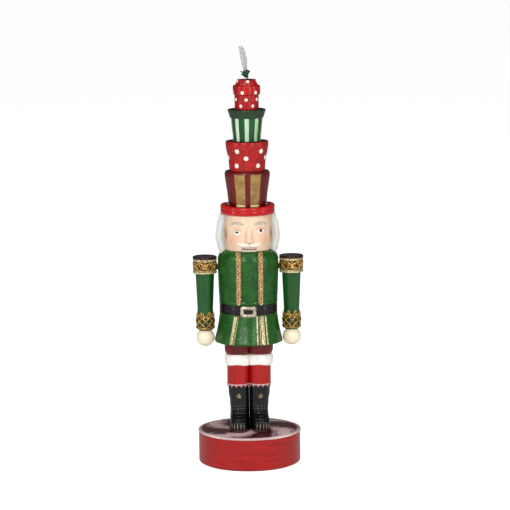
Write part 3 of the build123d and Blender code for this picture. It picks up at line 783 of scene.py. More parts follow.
def build_knee_band(name, side):
    """A ring of sculpted fur at the knee, flattened where the two legs meet."""
    node = f"knee_band_{name}"
    lo, hi = heights(node)
    x = middle(f"leg_{name}").x
    outer = BOX[node][1].x - x if side > 0 else x - BOX[node][0].x
    inner = radius(f"leg_{name}") + 0.08 * MM
    outline = []
    steps = 30
    for i in range(steps + 1):
        t = math.pi * i / steps
        bulge = math.sin(t) ** 0.55
        outline.append((inner + (outer - inner + 0.2 * MM) * bulge, lo + (hi - lo) * (1 - math.cos(t)) / 2))

    def tufts(angle, z):
        """Clumps of fur, flat at the ring's edges, with painted shade in the hollows between them."""
        value = fur_noise(angle, z, 3.4 * MM, 3.0 * side)
        edge = math.sin(math.pi * min(1, max(0, (z - lo) / (hi - lo))))
        return value * 0.8 * MM * edge, max(0.0, -value) * 0.55

    shape = Shape().lathe(outline, (x, 0), 180, tufts)
    for vertex in shape.verts:
        angle = math.atan2(vertex.y, vertex.x - x)
        sway = 1 if vertex.z < (lo + hi) / 2 else 0.4
        vertex.z += 0.75 * MM * math.cos(3 * (angle - FRONT) + 0.4) * sway
    keep_side(shape, side)
    piece(node, shape, "fur", 180)


def build_breeches():
    """Two full red legs, gathered above the fur."""
    lo, hi = heights("breeches")
    shape = Shape()
    for name, side in SIDES:
        x = middle(f"leg_{name}").x
        full = BOX["breeches"][1].x - abs(x)
        wall = [(full * 0.9, lo), (full - 0.1 * MM, lo + 4 * MM), (full - 0.1 * MM, hi)]
        outline = refine(soften([(0, lo)] + wall + [(0, hi)], 2 * MM), 0.8 * MM)

        def folds(angle, z, side=side):
            """Gathers that fade upward, with painted shade in their folds."""
            depth = math.exp(-(z - lo) / (7 * MM))
            wave = math.cos(angle * 16 + side) * 0.5 + math.cos(angle * 27) * 0.25
            return -0.45 * MM * depth * (1 - wave), max(0.0, -wave) * depth

        one = Shape().lathe(outline, (x, 0), 160, folds)
        keep_side(one, side)
        start = len(shape.verts)
        shape.verts += one.verts
        shape.tones += one.tones
        shape.faces += [tuple(v + start for v in face) for face in one.faces]
    piece("breeches", shape, "breeches")


# ---------- coat
WAIST_Z = high("coat_skirt")
HEM_Z = low("coat_skirt")
HEM_R = radius("coat_skirt")
WAIST_R = radius("belt") - 0.5 * MM
SKIRT_TABLE = [(0.0, 1.0), (0.05, 1.0), (0.28, 0.68), (0.62, 0.31), (1.0, 0.0)]


def skirt_radius(z):
    """The skirt's mean radius at a height: wide at the hem, narrow at the waist."""
    share = between(SKIRT_TABLE, (z - HEM_Z) / (WAIST_Z - HEM_Z), straight)[0]
    return WAIST_R + (HEM_R - WAIST_R) * share


def skirt_fold(angle, z):
    """Soft pleats that open toward the hem, with painted shade in their hollows."""
    t = 1 - (z - HEM_Z) / (WAIST_Z - HEM_Z)
    wave = math.cos((angle - FRONT) * 14) * 0.6 + math.cos((angle - FRONT) * 7 + 0.8) * 0.4
    return -0.75 * MM * t * (1 - wave) / 2, max(0.0, -wave) * t * 0.5


def skirt_ribbon(shape, x_top, x_foot, half, thickness):
    """A flat braid down the skirt, half metres each side of a line across from x_top to x_foot."""
    rows = 30
    top, foot = WAIST_Z - 1.2 * MM, HEM_Z + 0.8 * MM
    grid = []
    for i in range(rows + 1):
        t = i / rows
        z = top + (foot - top) * t
        mean = skirt_radius(z)
        row = []
        for k in range(7):
            x = x_top + (x_foot - x_top) * t + half * (k / 3 - 1)
            angle = math.asin(max(-1, min(1, x / mean))) + FRONT
            r = mean + skirt_fold(angle, z)[0]
            crown = 1 - ((k - 3) / 3) ** 2
            normal = Vector((math.cos(angle), math.sin(angle), 0.12)).normalized()
            row.append((polar((0, 0), r - 0.25 * MM + thickness * 0.35 * crown, angle, z), normal))
        grid.append(row)
    shape.sheet(grid, thickness)


def build_skirt():
    """The pleated coat skirt with its hollow underside, and the painted braids down its front edges."""
    steps = 40
    recess = 3  # mm
    outline = [(AXIS, HEM_Z + recess * MM)]
    outline += rim(HEM_R, HEM_Z, (3.6, recess), (3.2, 0.4), (1.0, 0), (0.25, 0.3))
    for i in range(1, steps + 1):
        z = HEM_Z + (WAIST_Z - HEM_Z) * i / steps
        outline.append((skirt_radius(z), z))
    outline.append((AXIS, WAIST_Z))
    piece("coat_skirt", Shape().lathe(outline, (0, 0), 224, skirt_fold), "coat")

    braids = Shape()
    for x_top, x_foot, half in (  # across at the waist and at the hem, half width, in mm
        (-15.0, -21.4, 1.6),
        (-12.2, -18.4, 0.35),
        (7.6, 8.2, 0.8),
        (10.6, 11.6, 0.4),
        (13.2, 14.9, 1.75),
        (17.0, 19.4, 0.7),
    ):
        skirt_ribbon(braids, x_top * MM, x_foot * MM, half * MM, 0.65 * MM)
    piece("skirt_braids", braids, "pale_gold")


def build_belt():
    """A patent belt with raised edges."""
    lo, hi = heights("belt")
    outer = radius("belt")
    edge = [(2.6, 0), (0.25, 0), (0, 0.5), (0, 1.2), (0.35, 1.6)]
    outline = rim(outer, lo, *edge) + rim(outer, (lo + hi) / 2, (0.1, 0))
    outline += rim(outer, hi, *[(inset, -rise) for inset, rise in edge[::-1]])
    rings = [circle((0, 0), r, z, 160) for r, z in soften(outline, 0.3 * MM)]
    piece("belt", Shape().skin(rings, loop=True), "patent")
    build_buckle(outer)


def build_buckle(belt_r):
    """A bevelled rectangular buckle that follows the belt."""
    lo, hi = BOX["belt_buckle"]
    centre, half = (lo + hi) / 2, (hi - lo) / 2
    bar, proud = 1.85 * MM, 1.75 * MM
    count, squareness = 160, 9.0
    section = [(-1, 0.0), (-1, 0.55), (-0.72, 0.95), (0.0, 1.05), (0.72, 0.95), (1, 0.55), (1, 0.0)]
    rings = []
    for inset, lift in section:
        ring = []
        for j in range(count):
            c, s = math.cos(TAU * j / count), math.sin(TAU * j / count)
            scale = (abs(c) ** squareness + abs(s) ** squareness) ** (-1 / squareness)
            x = centre.x + c * scale * (half.x - bar + bar * inset)
            z = centre.z + s * scale * (half.z - bar + bar * inset)
            ring.append(polar((0, 0), belt_r - 0.05 * MM + proud * lift, x / belt_r + FRONT, z))
        rings.append(ring)
    piece("belt_buckle", Shape().skin(rings, loop=True), "buckle")


TORSO_LO, TORSO_HI = high("belt"), high("torso")
CHEST_R = radius("torso")
CHEST_TABLE = [(0, -1.6), (0.2, -0.8), (0.615, 0), (0.84, 0), (0.92, -1.6), (0.978, -4.2), (1, -6.4)]


def chest_radius(z):
    """The chest's radius at a height above the belt."""
    return CHEST_R + between(CHEST_TABLE, (z - TORSO_LO) / (TORSO_HI - TORSO_LO), straight)[0] * MM


def build_waist_hem():
    """The coat's low hem above the belt, fuller at front and back than at the sides."""
    foot, tall = TORSO_LO - 0.1 * MM, 4.0 * MM
    rings = []
    for rise, swell in ((0.0, 0.15), (0.05, 0.6), (0.3, 0.75), (0.8, 0.6), (1.0, 0.15), (0.0, 0.0)):
        z = foot + tall * rise
        ring = []
        for j in range(144):
            angle = TAU * j / 144
            fullness = 0.35 + 0.65 * math.cos(angle - FRONT) ** 2
            ring.append(polar((0, 0), chest_radius(z) + (0.02 + swell * fullness) * MM, angle, z))
        rings.append(ring)
    piece("coat_waist_hem", Shape().skin(rings, loop=True), "coat", 60)


def build_braid(name):
    """A twisted gold braid down the chest, between two fine cords."""
    node = f"coat_braid_{name}"
    x = middle(node).x
    lo, hi = heights(node)

    def on_chest(across, z, lift):
        """A point on the chest, across from the braid's own line."""
        r = chest_radius(z)
        return polar((0, 0), r + lift, math.asin((x + across) / r) + FRONT, z)

    braid = Shape()
    links, steps = 13, 16
    for strand in (0, 1):
        path = []
        for i in range(links * steps + 1):
            t = i / (links * steps)
            phase = math.pi * links * t + math.pi * strand
            lift = 0.5 * MM + 0.3 * MM * math.cos(phase)
            path.append(on_chest(1.35 * MM * math.sin(phase), lo + (hi - lo) * t, lift))
        braid.tube(path, 0.75 * MM, 9)
    for edge in (-1, 1):
        path = [on_chest(edge * 2.3 * MM, lo + (hi - lo) * i / 80, 0.15 * MM) for i in range(81)]
        braid.tube(path, 0.34 * MM, 8, tone=0.35)
    # Dark knots in the middle of each loop: painted shade in the openings between the two strands.
    for i in range(links):
        spot = on_chest(0, lo + (hi - lo) / links * (i + 0.5), 0.35 * MM)
        braid.ball(spot, (0.6 * MM, 0.6 * MM, 0.85 * MM), 8, 12, tone=0.9)
    piece(node, braid, "braid", 180)


def build_chest():
    """The coat's chest with its low hem, its gold braids and its side seams."""
    keep("torso", "coat")
    keep("jaw_lever", "coat")
    build_waist_hem()
    for name, side in SIDES:
        build_braid(name)
        seam = Shape()
        path = []
        for i in range(61):
            z = TORSO_LO + 0.6 * MM + (TORSO_HI - TORSO_LO - 1.6 * MM) * i / 60
            path.append(polar((0, 0), chest_radius(z) - 0.12 * MM, FRONT + side * math.radians(62), z))
        seam.tube(path, 0.4 * MM, 8)
        piece(f"coat_side_seam_{name}", seam, "coat", 180)
        keep(f"shoulder_dowel_{name}", "sleeve")


# ---------- arms
def build_arm(name):
    """A turned sleeve with a lace cuff, a ball hand and a filigree epaulette."""
    body = f"{name}_arm"
    node = f"hand_{name}"
    x = middle(node).x
    keep(f"arm_{name}", "sleeve")

    hand_r, wrist_z = radius(node), high(node)
    ball_z = low(node) + hand_r
    outline = []
    steps = 40
    stop = math.acos(min(1.0, (wrist_z - ball_z) / hand_r))
    for i in range(steps + 1):
        t = math.pi - (math.pi - stop) * i / steps
        outline.append((max(AXIS, hand_r * math.sin(t)), ball_z + hand_r * math.cos(t)))
    outline.append((AXIS, wrist_z))

    def mitten(angle, z):
        """A faint line of closed fingers across the front of the ball: a shallow groove with painted shade
        in it.
        """
        t = (z - ball_z) / hand_r
        line = math.exp(-(((t + 0.15) / 0.05) ** 2)) * max(0.0, -math.sin(angle)) ** 2
        return -0.22 * MM * line, 0.35 * line

    piece(node, Shape().lathe(outline, (x, 0), 96, mitten), "hand", 70, body)
    build_cuff(name, x, body)
    build_epaulette(name, x, body)


def build_cuff(name, x, body):
    """Openwork gold lace around the wrist: crossing cords, beads and scalloped edges over a dark ground."""
    node = f"cuff_{name}"
    lo, hi = heights(node)
    outer = radius(node)
    ground, inner = outer - 0.85 * MM, outer - 2.2 * MM
    inset = 0.8 * MM  # of the ground's ends

    def at(angle, z, lift=0.0):
        """A point on the cuff's ground, which bulges in the middle."""
        t = (z - lo) / (hi - lo)
        swell = math.sin(math.pi * min(1, max(0, 0.12 + 0.8 * t)))
        return polar((x, 0), ground - 0.9 * MM * (1 - swell) + lift, angle, z)

    rings = []
    for i in range(13):
        z = lo + inset + (hi - lo - 2 * inset) * i / 12
        rings.append([at(TAU * j / 96, z) for j in range(96)])
    rings += [circle((x, 0), inner, z, 96) for z in (hi - inset, lo + inset)]
    band = Shape().skin(rings, loop=True)
    piece(f"cuff_ground_{name}", band, "lid_green", 40, body)

    lace = Shape()
    cords, steps, rows = 8, 26, 4
    z0, z1 = lo + 1.9 * MM, hi - 3.0 * MM
    for way in (-1, 1):
        for k in range(cords):
            path = []
            for i in range(steps + 1):
                t = i / steps
                angle = TAU * k / cords + way * TAU / cords * 1.5 * t
                weave = 0.22 * MM * math.cos(math.pi * 3 * t * way)
                path.append(at(angle, z0 + (z1 - z0) * t, 0.4 * MM + weave))
            lace.tube(path, 0.62 * MM, 8)
    for row in range(rows):
        z = z0 + (z1 - z0) * row / (rows - 1)
        for k in range(cords):
            angle = TAU * (k + (0.5 if row % 2 else 0.0)) / cords
            lace.ball(at(angle, z, 0.62 * MM), (0.85 * MM,) * 3, 8, 12)
    leaves = 6
    for k in range(leaves):
        stem = TAU * (k + 0.5) / leaves + FRONT
        path = []
        for i in range(21):
            u = i / 10 - 1
            rise = (1 - abs(u) ** 1.4) * 6.5 * MM
            path.append(at(stem + 0.42 * u * TAU / leaves, z1 + rise, 0.5 * MM - 0.12 * rise))
        lace.tube(path, 0.6 * MM, 8)
        lace.ball(at(stem, z1 + 2.6 * MM, 0.2 * MM), (1.1 * MM, 1.1 * MM, 1.9 * MM), 9, 12)
    loops = 14
    for z, way, reach in ((z0, -1, 0.9), (z1, 1, 1.9)):
        ring = [at(TAU * j / 96, z, 0.4 * MM) for j in range(96)]
        lace.tube(ring, 0.55 * MM, 9, loop=True, tone=0.15)
        scallop = []
        for j in range(loops * 10):
            angle = TAU * j / (loops * 10)
            swing = reach * MM * abs(math.sin(angle * loops / 2)) ** 0.8
            scallop.append(at(angle, z + way * (0.3 * MM + swing), 0.35 * MM))
        lace.tube(scallop, 0.42 * MM, 7, loop=True)
    piece(f"cuff_lace_{name}", lace, "filigree", 180, body, node)


def build_epaulette(name, x, body):
    """A drum of gold scrollwork on a bronze ground between rings, under a dark domed cap."""
    node = f"epaulette_{name}"
    lo, hi = heights(node)
    outer = radius(node)
    ground = outer - 1.5 * MM
    outline = [(AXIS, lo)] + rim(ground, lo, (0.6, 0), (0, 3)) + [(ground, hi), (AXIS, hi)]
    drum = Shape().lathe(soften(outline, 0.5 * MM), (x, 0), 96)
    piece(f"epaulette_ground_{name}", drum, "bronze", body=body)

    rings = Shape()
    for z, thick, inset in (  # thickness and inset in mm
        (lo + 1.2 * MM, 1.15, 1.15),
        (lo + 3.1 * MM, 0.6, 1.2),
        (hi - 2.4 * MM, 0.55, 1.1),
        (hi - 0.95 * MM, 0.95, 0.95),
    ):
        rings.tube(circle((x, 0), outer - inset * MM, z, 96), thick * MM, 12, loop=True)
    piece(f"epaulette_rings_{name}", rings, "pale_gold", 180, body)

    scrolls = Shape()
    petals = 6
    z0, z1 = lo + 4.2 * MM, hi - 3.4 * MM

    def at(angle, share, lift, rise=0.0):
        """A point on the drum, at a share of the scrolls' height."""
        return polar((x, 0), ground + lift * MM, angle, z0 + (z1 - z0) * share + rise)

    for k in range(petals):
        base = TAU * k / petals
        for mirror in (-1, 1):
            path = []
            for i in range(25):
                t = i / 24
                curl = math.sin(math.pi * t) * (0.5 - 0.12 * math.cos(2.5 * math.pi * t))
                angle = base + mirror * curl * TAU / petals
                path.append(at(angle, t, 0.35 + 0.25 * math.sin(math.pi * t)))
            scrolls.tube(path, lambda t: (0.7 + 0.6 * math.sin(math.pi * t)) * MM, 8)
            spiral = []
            for i in range(22):
                t = i / 21
                turn = mirror * TAU * 1.15 * t
                size = (2.3 - 1.7 * t) * MM
                angle = base + mirror * 0.27 * TAU / petals + math.cos(turn) * size / ground
                spiral.append(at(angle, 0.3, 0.5, math.sin(turn) * size))
            scrolls.tube(spiral, lambda t: (0.85 - 0.3 * t) * MM, 8)
        scrolls.ball(at(base, 0.72, 0.45), (1.1 * MM, 1.1 * MM, 2.0 * MM), 9, 12)
        gap = base + math.pi / petals
        scrolls.ball(at(gap, 0.16, 0.4), (1.1 * MM,) * 3, 8, 12)
        scrolls.ball(at(gap, 0.86, 0.4), (1.3 * MM, 1.3 * MM, 1.0 * MM), 8, 12)
    piece(f"epaulette_scrolls_{name}", scrolls, "filigree", 180, body, node)

    cap = f"epaulette_cap_{name}"
    lo, hi = heights(cap)
    outline = [(AXIS, lo)] + rim(outer, lo, (0.6, 0), (0, 0.8))
    outline += rim(outer, hi, (0.2, -0.5), (1.2, 0), (2.4, -0.9))
    outline += rim(outer * 0.5, hi, (0, -0.6)) + rim(AXIS, hi, (0, -0.3))
    piece(cap, Shape().lathe(soften(outline, 0.5 * MM), (x, 0), 96), "maroon", body=body)


# ---------- head and face
HEAD_LO, HEAD_HI = heights("head")
HEAD_R = radius("head")
HAIR_R = radius("hair")
FACE_HALF = math.radians(76)
EYE_X = BOX["eyes"][1].x - 4.2 * MM


def arc_radius(z, *points):
    """A smooth bulge through three (height, radius) points."""
    (z0, r0), (z1, r1), (z2, r2) = points
    l0 = (z - z1) * (z - z2) / ((z0 - z1) * (z0 - z2))
    l1 = (z - z0) * (z - z2) / ((z1 - z0) * (z1 - z2))
    l2 = (z - z0) * (z - z1) / ((z2 - z0) * (z2 - z1))
    return r0 * l0 + r1 * l1 + r2 * l2


def head_radius(z):
    """The bare head's radius at a height."""
    cheek = (HEAD_LO + 18.8 * MM, HEAD_R)
    return arc_radius(z, (HEAD_LO, HEAD_R - 1.6 * MM), cheek, (HEAD_HI, HEAD_R - 1.8 * MM))


HAIR_TABLE = [(0, -4.6), (0.16, -1.5), (0.42, 0.2), (0.74, -1.3), (0.93, -3.6), (1, -4.6)]


def hair_radius(z):
    """The hair's outer radius at a height."""
    t = (z - low("hair")) / (HEAD_HI - low("hair"))
    return HAIR_R + between(HAIR_TABLE, t)[0] * MM


def on_face(x, z, lift=0.0):
    """A point on the front of the face, x across and lift metres off it."""
    r = head_radius(z)
    angle = math.asin(max(-1, min(1, x / r))) + FRONT
    return polar((0, 0), r + face_relief(angle, z)[0] + lift, angle, z)


def face_relief(angle, z):
    """Cheeks, brow, sockets and muzzle, as (added radius, tone); the tone is painted shade above the eyes,
    beside and along the nose, and under it.
    """
    away = (angle - FRONT + math.pi) % TAU - math.pi
    x = HEAD_R * math.sin(away)
    if abs(away) > math.radians(85):
        return 0.0, 0.0
    eye_z, nose_z, lip_z = middle("eyes").z, middle("nose").z, middle("moustache").z

    def mound(cx, cz, wx, wz):
        """1 at a place on the face, falling off over widths in mm."""
        return math.exp(-(((x - cx) / (wx * MM)) ** 2) - ((z - cz) / (wz * MM)) ** 2)

    added = 0.9 * mound(0, lip_z, 9, 3.8)
    tone = 0.0
    for side in (-1, 1):
        added += 1.1 * mound(side * 15 * MM, nose_z - 3 * MM, 6.5, 5.5)
        added -= 0.6 * mound(side * EYE_X, eye_z + 1 * MM, 5, 3.6)
        added += 0.4 * mound(side * EYE_X, eye_z + 8 * MM, 7, 2.4)
        # Painted shade: a line above each eye, beside the nostrils, along the nose and under it.
        tone += 0.35 * mound(side * EYE_X, eye_z + 4.2 * MM, 5.0, 0.9)
        tone += 0.5 * mound(side * 4.9 * MM, nose_z - 3 * MM, 1.2, 2.6)
        tone += 0.45 * mound(side * 3.6 * MM, nose_z + 6 * MM, 0.9, 6)
    tone += 0.6 * mound(0, nose_z - 4.6 * MM, 3.4, 0.9)
    return added * MM, min(1.0, tone)


def build_head():
    """The face with its relief and its open mouth, where the jaw's teeth close."""
    steps = 84
    outline = [(AXIS, HEAD_LO)]
    for i in range(steps + 1):
        z = HEAD_LO + (HEAD_HI - HEAD_LO) * i / steps
        ease = min(1.0, (z - HEAD_LO) / (1.2 * MM))
        outline.append((head_radius(z) - 0.8 * MM * (1 - ease) ** 2, z))
    outline.append((AXIS, HEAD_HI))
    head = piece("head", Shape().lathe(outline, (0, 0), 240, face_relief), "skin")
    mouth_z = high("upper_teeth")
    block = radius("jaw_lever")
    half = block + 0.25 * MM
    cut_box(head, (-half, -40 * MM, HEAD_LO - 5 * MM), (half, -10 * MM, mouth_z))

    left, right = -half + 0.05 * MM, half - 0.05 * MM
    bottom, top = HEAD_LO + 0.1 * MM, mouth_z - 0.05 * MM
    corners = ((left, bottom), (right, bottom), (right, top), (left, top))
    wall = [Vector((x, -10.6 * MM, z)) for x, z in corners]
    lining = Shape().skin([wall, [p + Vector((0, 0.5 * MM, 0)) for p in wall]])
    piece("mouth_lining", lining, "mouth")
    gap_z = high("lower_teeth")
    build_teeth("upper_teeth", "figure", block, gap_z + 0.3 * MM, mouth_z)
    build_teeth("lower_teeth", "jaw", block - 0.1 * MM, low("lower_teeth"), gap_z)


def build_teeth(name, body, half, bottom, top):
    """A row of small rounded teeth, half metres each side of the middle."""
    front = BOX[name][0].y + 0.2 * MM
    shape = Shape()
    count = 6
    width = 2 * half / count
    radii = (width * 0.52, 1.15 * MM, (top - bottom) * 0.6)
    for i in range(count):
        x = width * (i + 0.5) - half
        bend = 1.0 * MM * (x / half) ** 2
        centre = (x, front + 1.2 * MM + bend, (bottom + top) / 2)
        shape.ball(centre, radii, 12, 16, carve=lambda w: 1 / max(abs(w.x), abs(w.z), 0.74) ** 0.5)
    for vertex in shape.verts:
        vertex.x = min(half, max(-half, vertex.x))
    clip_heights(shape, bottom, top)
    piece(name, shape, "teeth", 180, body)


def clip_heights(shape, bottom, top):
    """Keep a shape between two heights."""
    for vertex in shape.verts:
        vertex.z = min(top, max(bottom, vertex.z))


def build_nose():
    """A long nose with its ball, nostrils and bridge."""
    z = middle("nose").z
    shape = Shape()
    shape.ball(on_face(0, z - 1.2 * MM, 0.6 * MM), (3.7 * MM, 3.2 * MM, 3.1 * MM), 18, 28)
    for side in (-1, 1):
        shape.ball(on_face(side * 2.9 * MM, z - 1.9 * MM), (1.6 * MM, 1.7 * MM, 1.6 * MM), 12, 18)
    rises = ((-1, -0.4), (2, -0.6), (5, -1.1), (8, -1.6), (11, -2.2), (14, -3.0))  # height, lift in mm
    bridge = [on_face(0, z + rise * MM, lift * MM) for rise, lift in rises]
    shape.tube(bridge, lambda t: (4.0 - 1.2 * t) * MM, 24)
    piece("nose", shape, "skin", 180)


def build_eyes():
    """Painted eyes on low mounds, the figure's left one a little higher, with a lid over each."""
    eyes, pupils, lids = Shape(), Shape(), Shape()
    half_width, half_height = 3.7 * MM, 2.7 * MM
    section = ((1.0, -0.35), (0.97, 0.05), (0.86, 0.35), (0.6, 0.56), (0.3, 0.66), (0.05, 0.68))
    for side in (-1, 1):
        x = side * EYE_X
        z = middle("eyes").z + side * 0.9 * MM
        rings = []
        for scale, lift in section:
            ring = []
            for j in range(40):
                angle = TAU * j / 40
                spot = (x + half_width * scale * math.cos(angle), z + half_height * scale * math.sin(angle))
                ring.append(on_face(*spot, lift * MM))
            rings.append(ring)
        eyes.skin(rings)
        pupil = on_face(x, z + 0.2 * MM, 0.5 * MM)
        turn = Matrix.Rotation(math.atan2(pupil.y, pupil.x) - FRONT, 3, "Z")
        pupils.ball(pupil, (2.1 * MM, 0.42 * MM, (1.6 + 0.3 * side) * MM), 14, 24, turn=turn)
        path = []
        for i in range(25):
            t = -1 + 2 * i / 24
            path.append(on_face(x + 4.4 * MM * t, z + half_height * math.sqrt(1 - 0.82 * t * t), 0.25 * MM))
        lids.tube(path, lambda t: (0.2 + 0.4 * math.sin(math.pi * t)) * MM, 8, tone=0.7)
    piece("eyes", eyes, "eye_white", 180)
    piece("pupils", pupils, "pupil", 180)
    piece("eyelids", lids, "skin", 180)


def build_brows():
    """Two arched brows of pale strands."""
    brows = Shape()
    z = middle("eyebrows").z
    for side in (-1, 1):
        for strand in range(9):
            spread = (strand - 4) / 4
            path = []
            for i in range(15):
                t = i / 14
                arch = 2.2 * math.sin(math.pi * (0.15 + 0.7 * t)) - 1.2
                fan = spread * 1.2 * math.sin(math.pi * (0.15 + 0.75 * t))
                across = side * (5.8 + 13.0 * t) * MM
                path.append(on_face(across, z + (arch + fan) * MM, (0.5 - 0.25 * abs(spread)) * MM))
            size = lambda t: (0.2 + 0.45 * math.sin(math.pi * t) ** 0.7) * MM
            brows.tube(path, size, 7, tone=0.3 * (strand % 3))
    piece("eyebrows", brows, "brow", 180)


def build_moustache():
    """Two swept locks of white strands under the nose."""
    shape = Shape()
    z_mid = middle("moustache").z
    for side in (-1, 1):
        for strand in range(13):
            spread = (strand - 6) / 6
            path = []
            for i in range(21):
                t = i / 20
                x = side * (0.5 + 12.0 * t) * MM
                droop = -1.6 * math.sin(math.pi * 0.62 * t) + 2.3 * t * t
                z = z_mid + (0.9 + droop + spread * 1.55 * math.sin(math.pi * (0.2 + 0.68 * t))) * MM
                path.append(on_face(x, z, (0.9 - 0.7 * spread * spread) * MM * (1 - 0.4 * t)))
            size = lambda t: (0.3 + 0.45 * math.sin(math.pi * (0.1 + 0.8 * t))) * MM
            shape.tube(path, size, 7, tone=0.12 * (strand % 3))
    piece("moustache", shape, "beard", 180)


def build_hair():
    """Sculpted hair: a full roll around the sides and back, combed into soft locks."""
    lo, hi = low("hair"), HEAD_HI
    locks, rows, columns = 26, 64, 390
    start, sweep = FRONT + FACE_HALF, TAU - 2 * FACE_HALF
    outer, inner, tones = [], [], []
    for i in range(rows + 1):
        t = i / rows
        z = lo + (hi - lo) * t
        on_head = z > TORSO_HI
        bare = head_radius(z) if on_head else max(chest_radius(z), head_radius(TORSO_HI)) + 0.05 * MM
        full = max(0.0, hair_radius(z) - bare)
        outer_row, inner_row, tone_row = [], [], []
        for j in range(columns + 1):
            u = j / columns
            angle = start + sweep * u
            edge = min(u, 1 - u) * sweep / math.radians(15)
            roll = math.sqrt(max(0.0, 1 - (1 - min(1.0, edge)) ** 2))
            wave = 0.5 * math.sin(2.6 * t * math.pi + 4 * u) + 0.35 * math.sin(TAU * u * 7)
            phase = u * locks * math.pi + wave
            lock = abs(math.sin(phase)) ** 0.5
            fine = abs(math.sin(phase * 3 + 0.6))
            depth = (1 - lock) * 1.1 + (1 - fine) * 0.22
            r = bare + full * roll - depth * MM * roll * min(1.0, full / (3 * MM))
            outer_row.append(polar((0, 0), r, angle, z))
            inner_row.append(polar((0, 0), bare - 0.3 * MM if on_head else bare, angle, z))
            # Painted shade between the locks and where the roll turns in toward the face; the inner side is
            # fully dark.
            tone_row.append(min(1.0, (1 - lock) * 0.6 + (1 - fine) * 0.15 + (1 - roll) * 0.9))
        outer.append(outer_row)
        inner.append(inner_row)
        tones.append(tone_row)
    piece("hair", Shape().plate(outer, inner, tones, 1.0), "hair", 180)


# ---------- hat tower
def wall_point(outline, angle, z, lift=0.0):
    """A point on a turned wall at a height, with its outward normal."""
    for (r0, z0), (r1, z1) in zip(outline, outline[1:]):
        if z0 <= z <= z1 and z1 > z0:
            t = (z - z0) / (z1 - z0)
            slope = (r1 - r0) / (z1 - z0)
            normal = Vector((math.cos(angle), math.sin(angle), -slope)).normalized()
            return polar((0, 0), r0 + (r1 - r0) * t, angle, z) + normal * lift, normal
    return polar((0, 0), outline[-1][0] + lift, angle, z), Vector((math.cos(angle), math.sin(angle), 0))


def around(count, first, z):
    """Evenly spaced places on a ring, as (angle in degrees from the front, height)."""
    return [(first + 360 * k / count, z) for k in range(count)]


def dots_on(shape, outline, spots, size, proud=0.45 * MM):
    """Raised round dots at (angle in degrees from the front, height) on a turned wall."""
    for degrees, z in spots:
        angle = FRONT + math.radians(degrees)
        centre, normal = wall_point(outline, angle, z)
        across = Vector((0, 0, 1)).cross(normal).normalized()
        up = normal.cross(across)
        mean = Vector((centre.x, centre.y, 0)).length
        rings = []
        for scale, lift in ((1.0, -0.5), (1.0, 0.25), (0.93, 0.7), (0.75, 1.0), (0.4, 1.12), (0.05, 1.15)):
            ring = []
            for j in range(28):
                turn = TAU * j / 28
                u, v = math.cos(turn) * size * scale, math.sin(turn) * size * scale
                sag = u * u / (2 * mean)
                ring.append(centre + across * u + up * v - normal * sag + normal * proud * lift)
            rings.append(ring)
        shape.skin(rings)


def build_brim():
    """The rolled brim: a thick lip curled up around the crown's foot, lower at front and back."""
    lo, hi = heights("hat_brim")
    outer = radius("hat_brim")
    floor = low("hat_crown")
    outline = [(AXIS, lo)] + rim(outer, lo, (3.1, 0), (0.9, 1.0), (0, 3.0), (0.35, 5.6))
    outline += rim(outer, hi, (0, -3.4), (0.5, -1.2), (2.2, 0), (4.0, -1.2))
    outline += rim(outer, floor, (5.4, 1.4), (7.0, 0)) + [(AXIS, floor)]
    shape = Shape().lathe(soften(outline, 1.2 * MM, 7), (0, 0), 160)
    for index, vertex in enumerate(shape.verts):
        # The hollow between the roll and the crown is painted dark as shade.
        if math.hypot(vertex.x, vertex.y) < outer - 4.5 * MM and vertex.z > floor - 0.1 * MM:
            shape.tones[index] = 0.9
        if vertex.z > floor + 0.5 * MM:
            dip = (1 + math.cos(2 * (math.atan2(vertex.y, vertex.x) - FRONT))) / 2
            vertex.z -= 2.0 * MM * dip * (vertex.z - floor) / (hi - floor)
    piece("hat_brim", shape, "brim")


def tier(name, wall, paint, next_r=None):
    """A turned tier; where a narrower tier of radius next_r stands on it, its top is a sunk groove painted
    dark as shade.
    """
    top_r, top_z = wall[-1]
    cover = [(AXIS, top_z)]
    if next_r:
        sunk = top_z - 1.4 * MM
        cover = rim(top_r, top_z, (0.9, 0)) + rim(top_r, sunk, (1.5, 0)) + rim(next_r, sunk, (-0.3, 0))
        cover += rim(next_r, top_z, (0.3, 0)) + [(AXIS, top_z)]
    outline = soften([(AXIS, wall[0][1])] + wall + cover, 0.5 * MM)
    shape = Shape().lathe(refine(outline, 1.2 * MM), (0, 0), 144)
    # The sunk groove is painted dark as shade.
    if next_r:
        for index, vertex in enumerate(shape.verts):
            if vertex.z > top_z - 1.6 * MM and math.hypot(vertex.x, vertex.y) < top_r - 0.8 * MM:
                shape.tones[index] = 1.0
    piece(name, shape, paint)


def bands_on(shape, wall, centres, half_angle, low_z, high_z, proud):
    """Raised vertical bands on a turned wall, at angles in degrees from the front."""
    for centre in centres:
        grid = []
        for i in range(31):
            z = low_z + (high_z - low_z) * i / 30
            row = []
            for k in range(11):
                u = k / 5 - 1
                angle = FRONT + math.radians(centre + half_angle * u)
                row.append(wall_point(wall, angle, z, (0.14 - 0.14 * u * u - 0.15) * MM))
            grid.append(row)
        shape.sheet(grid, proud)


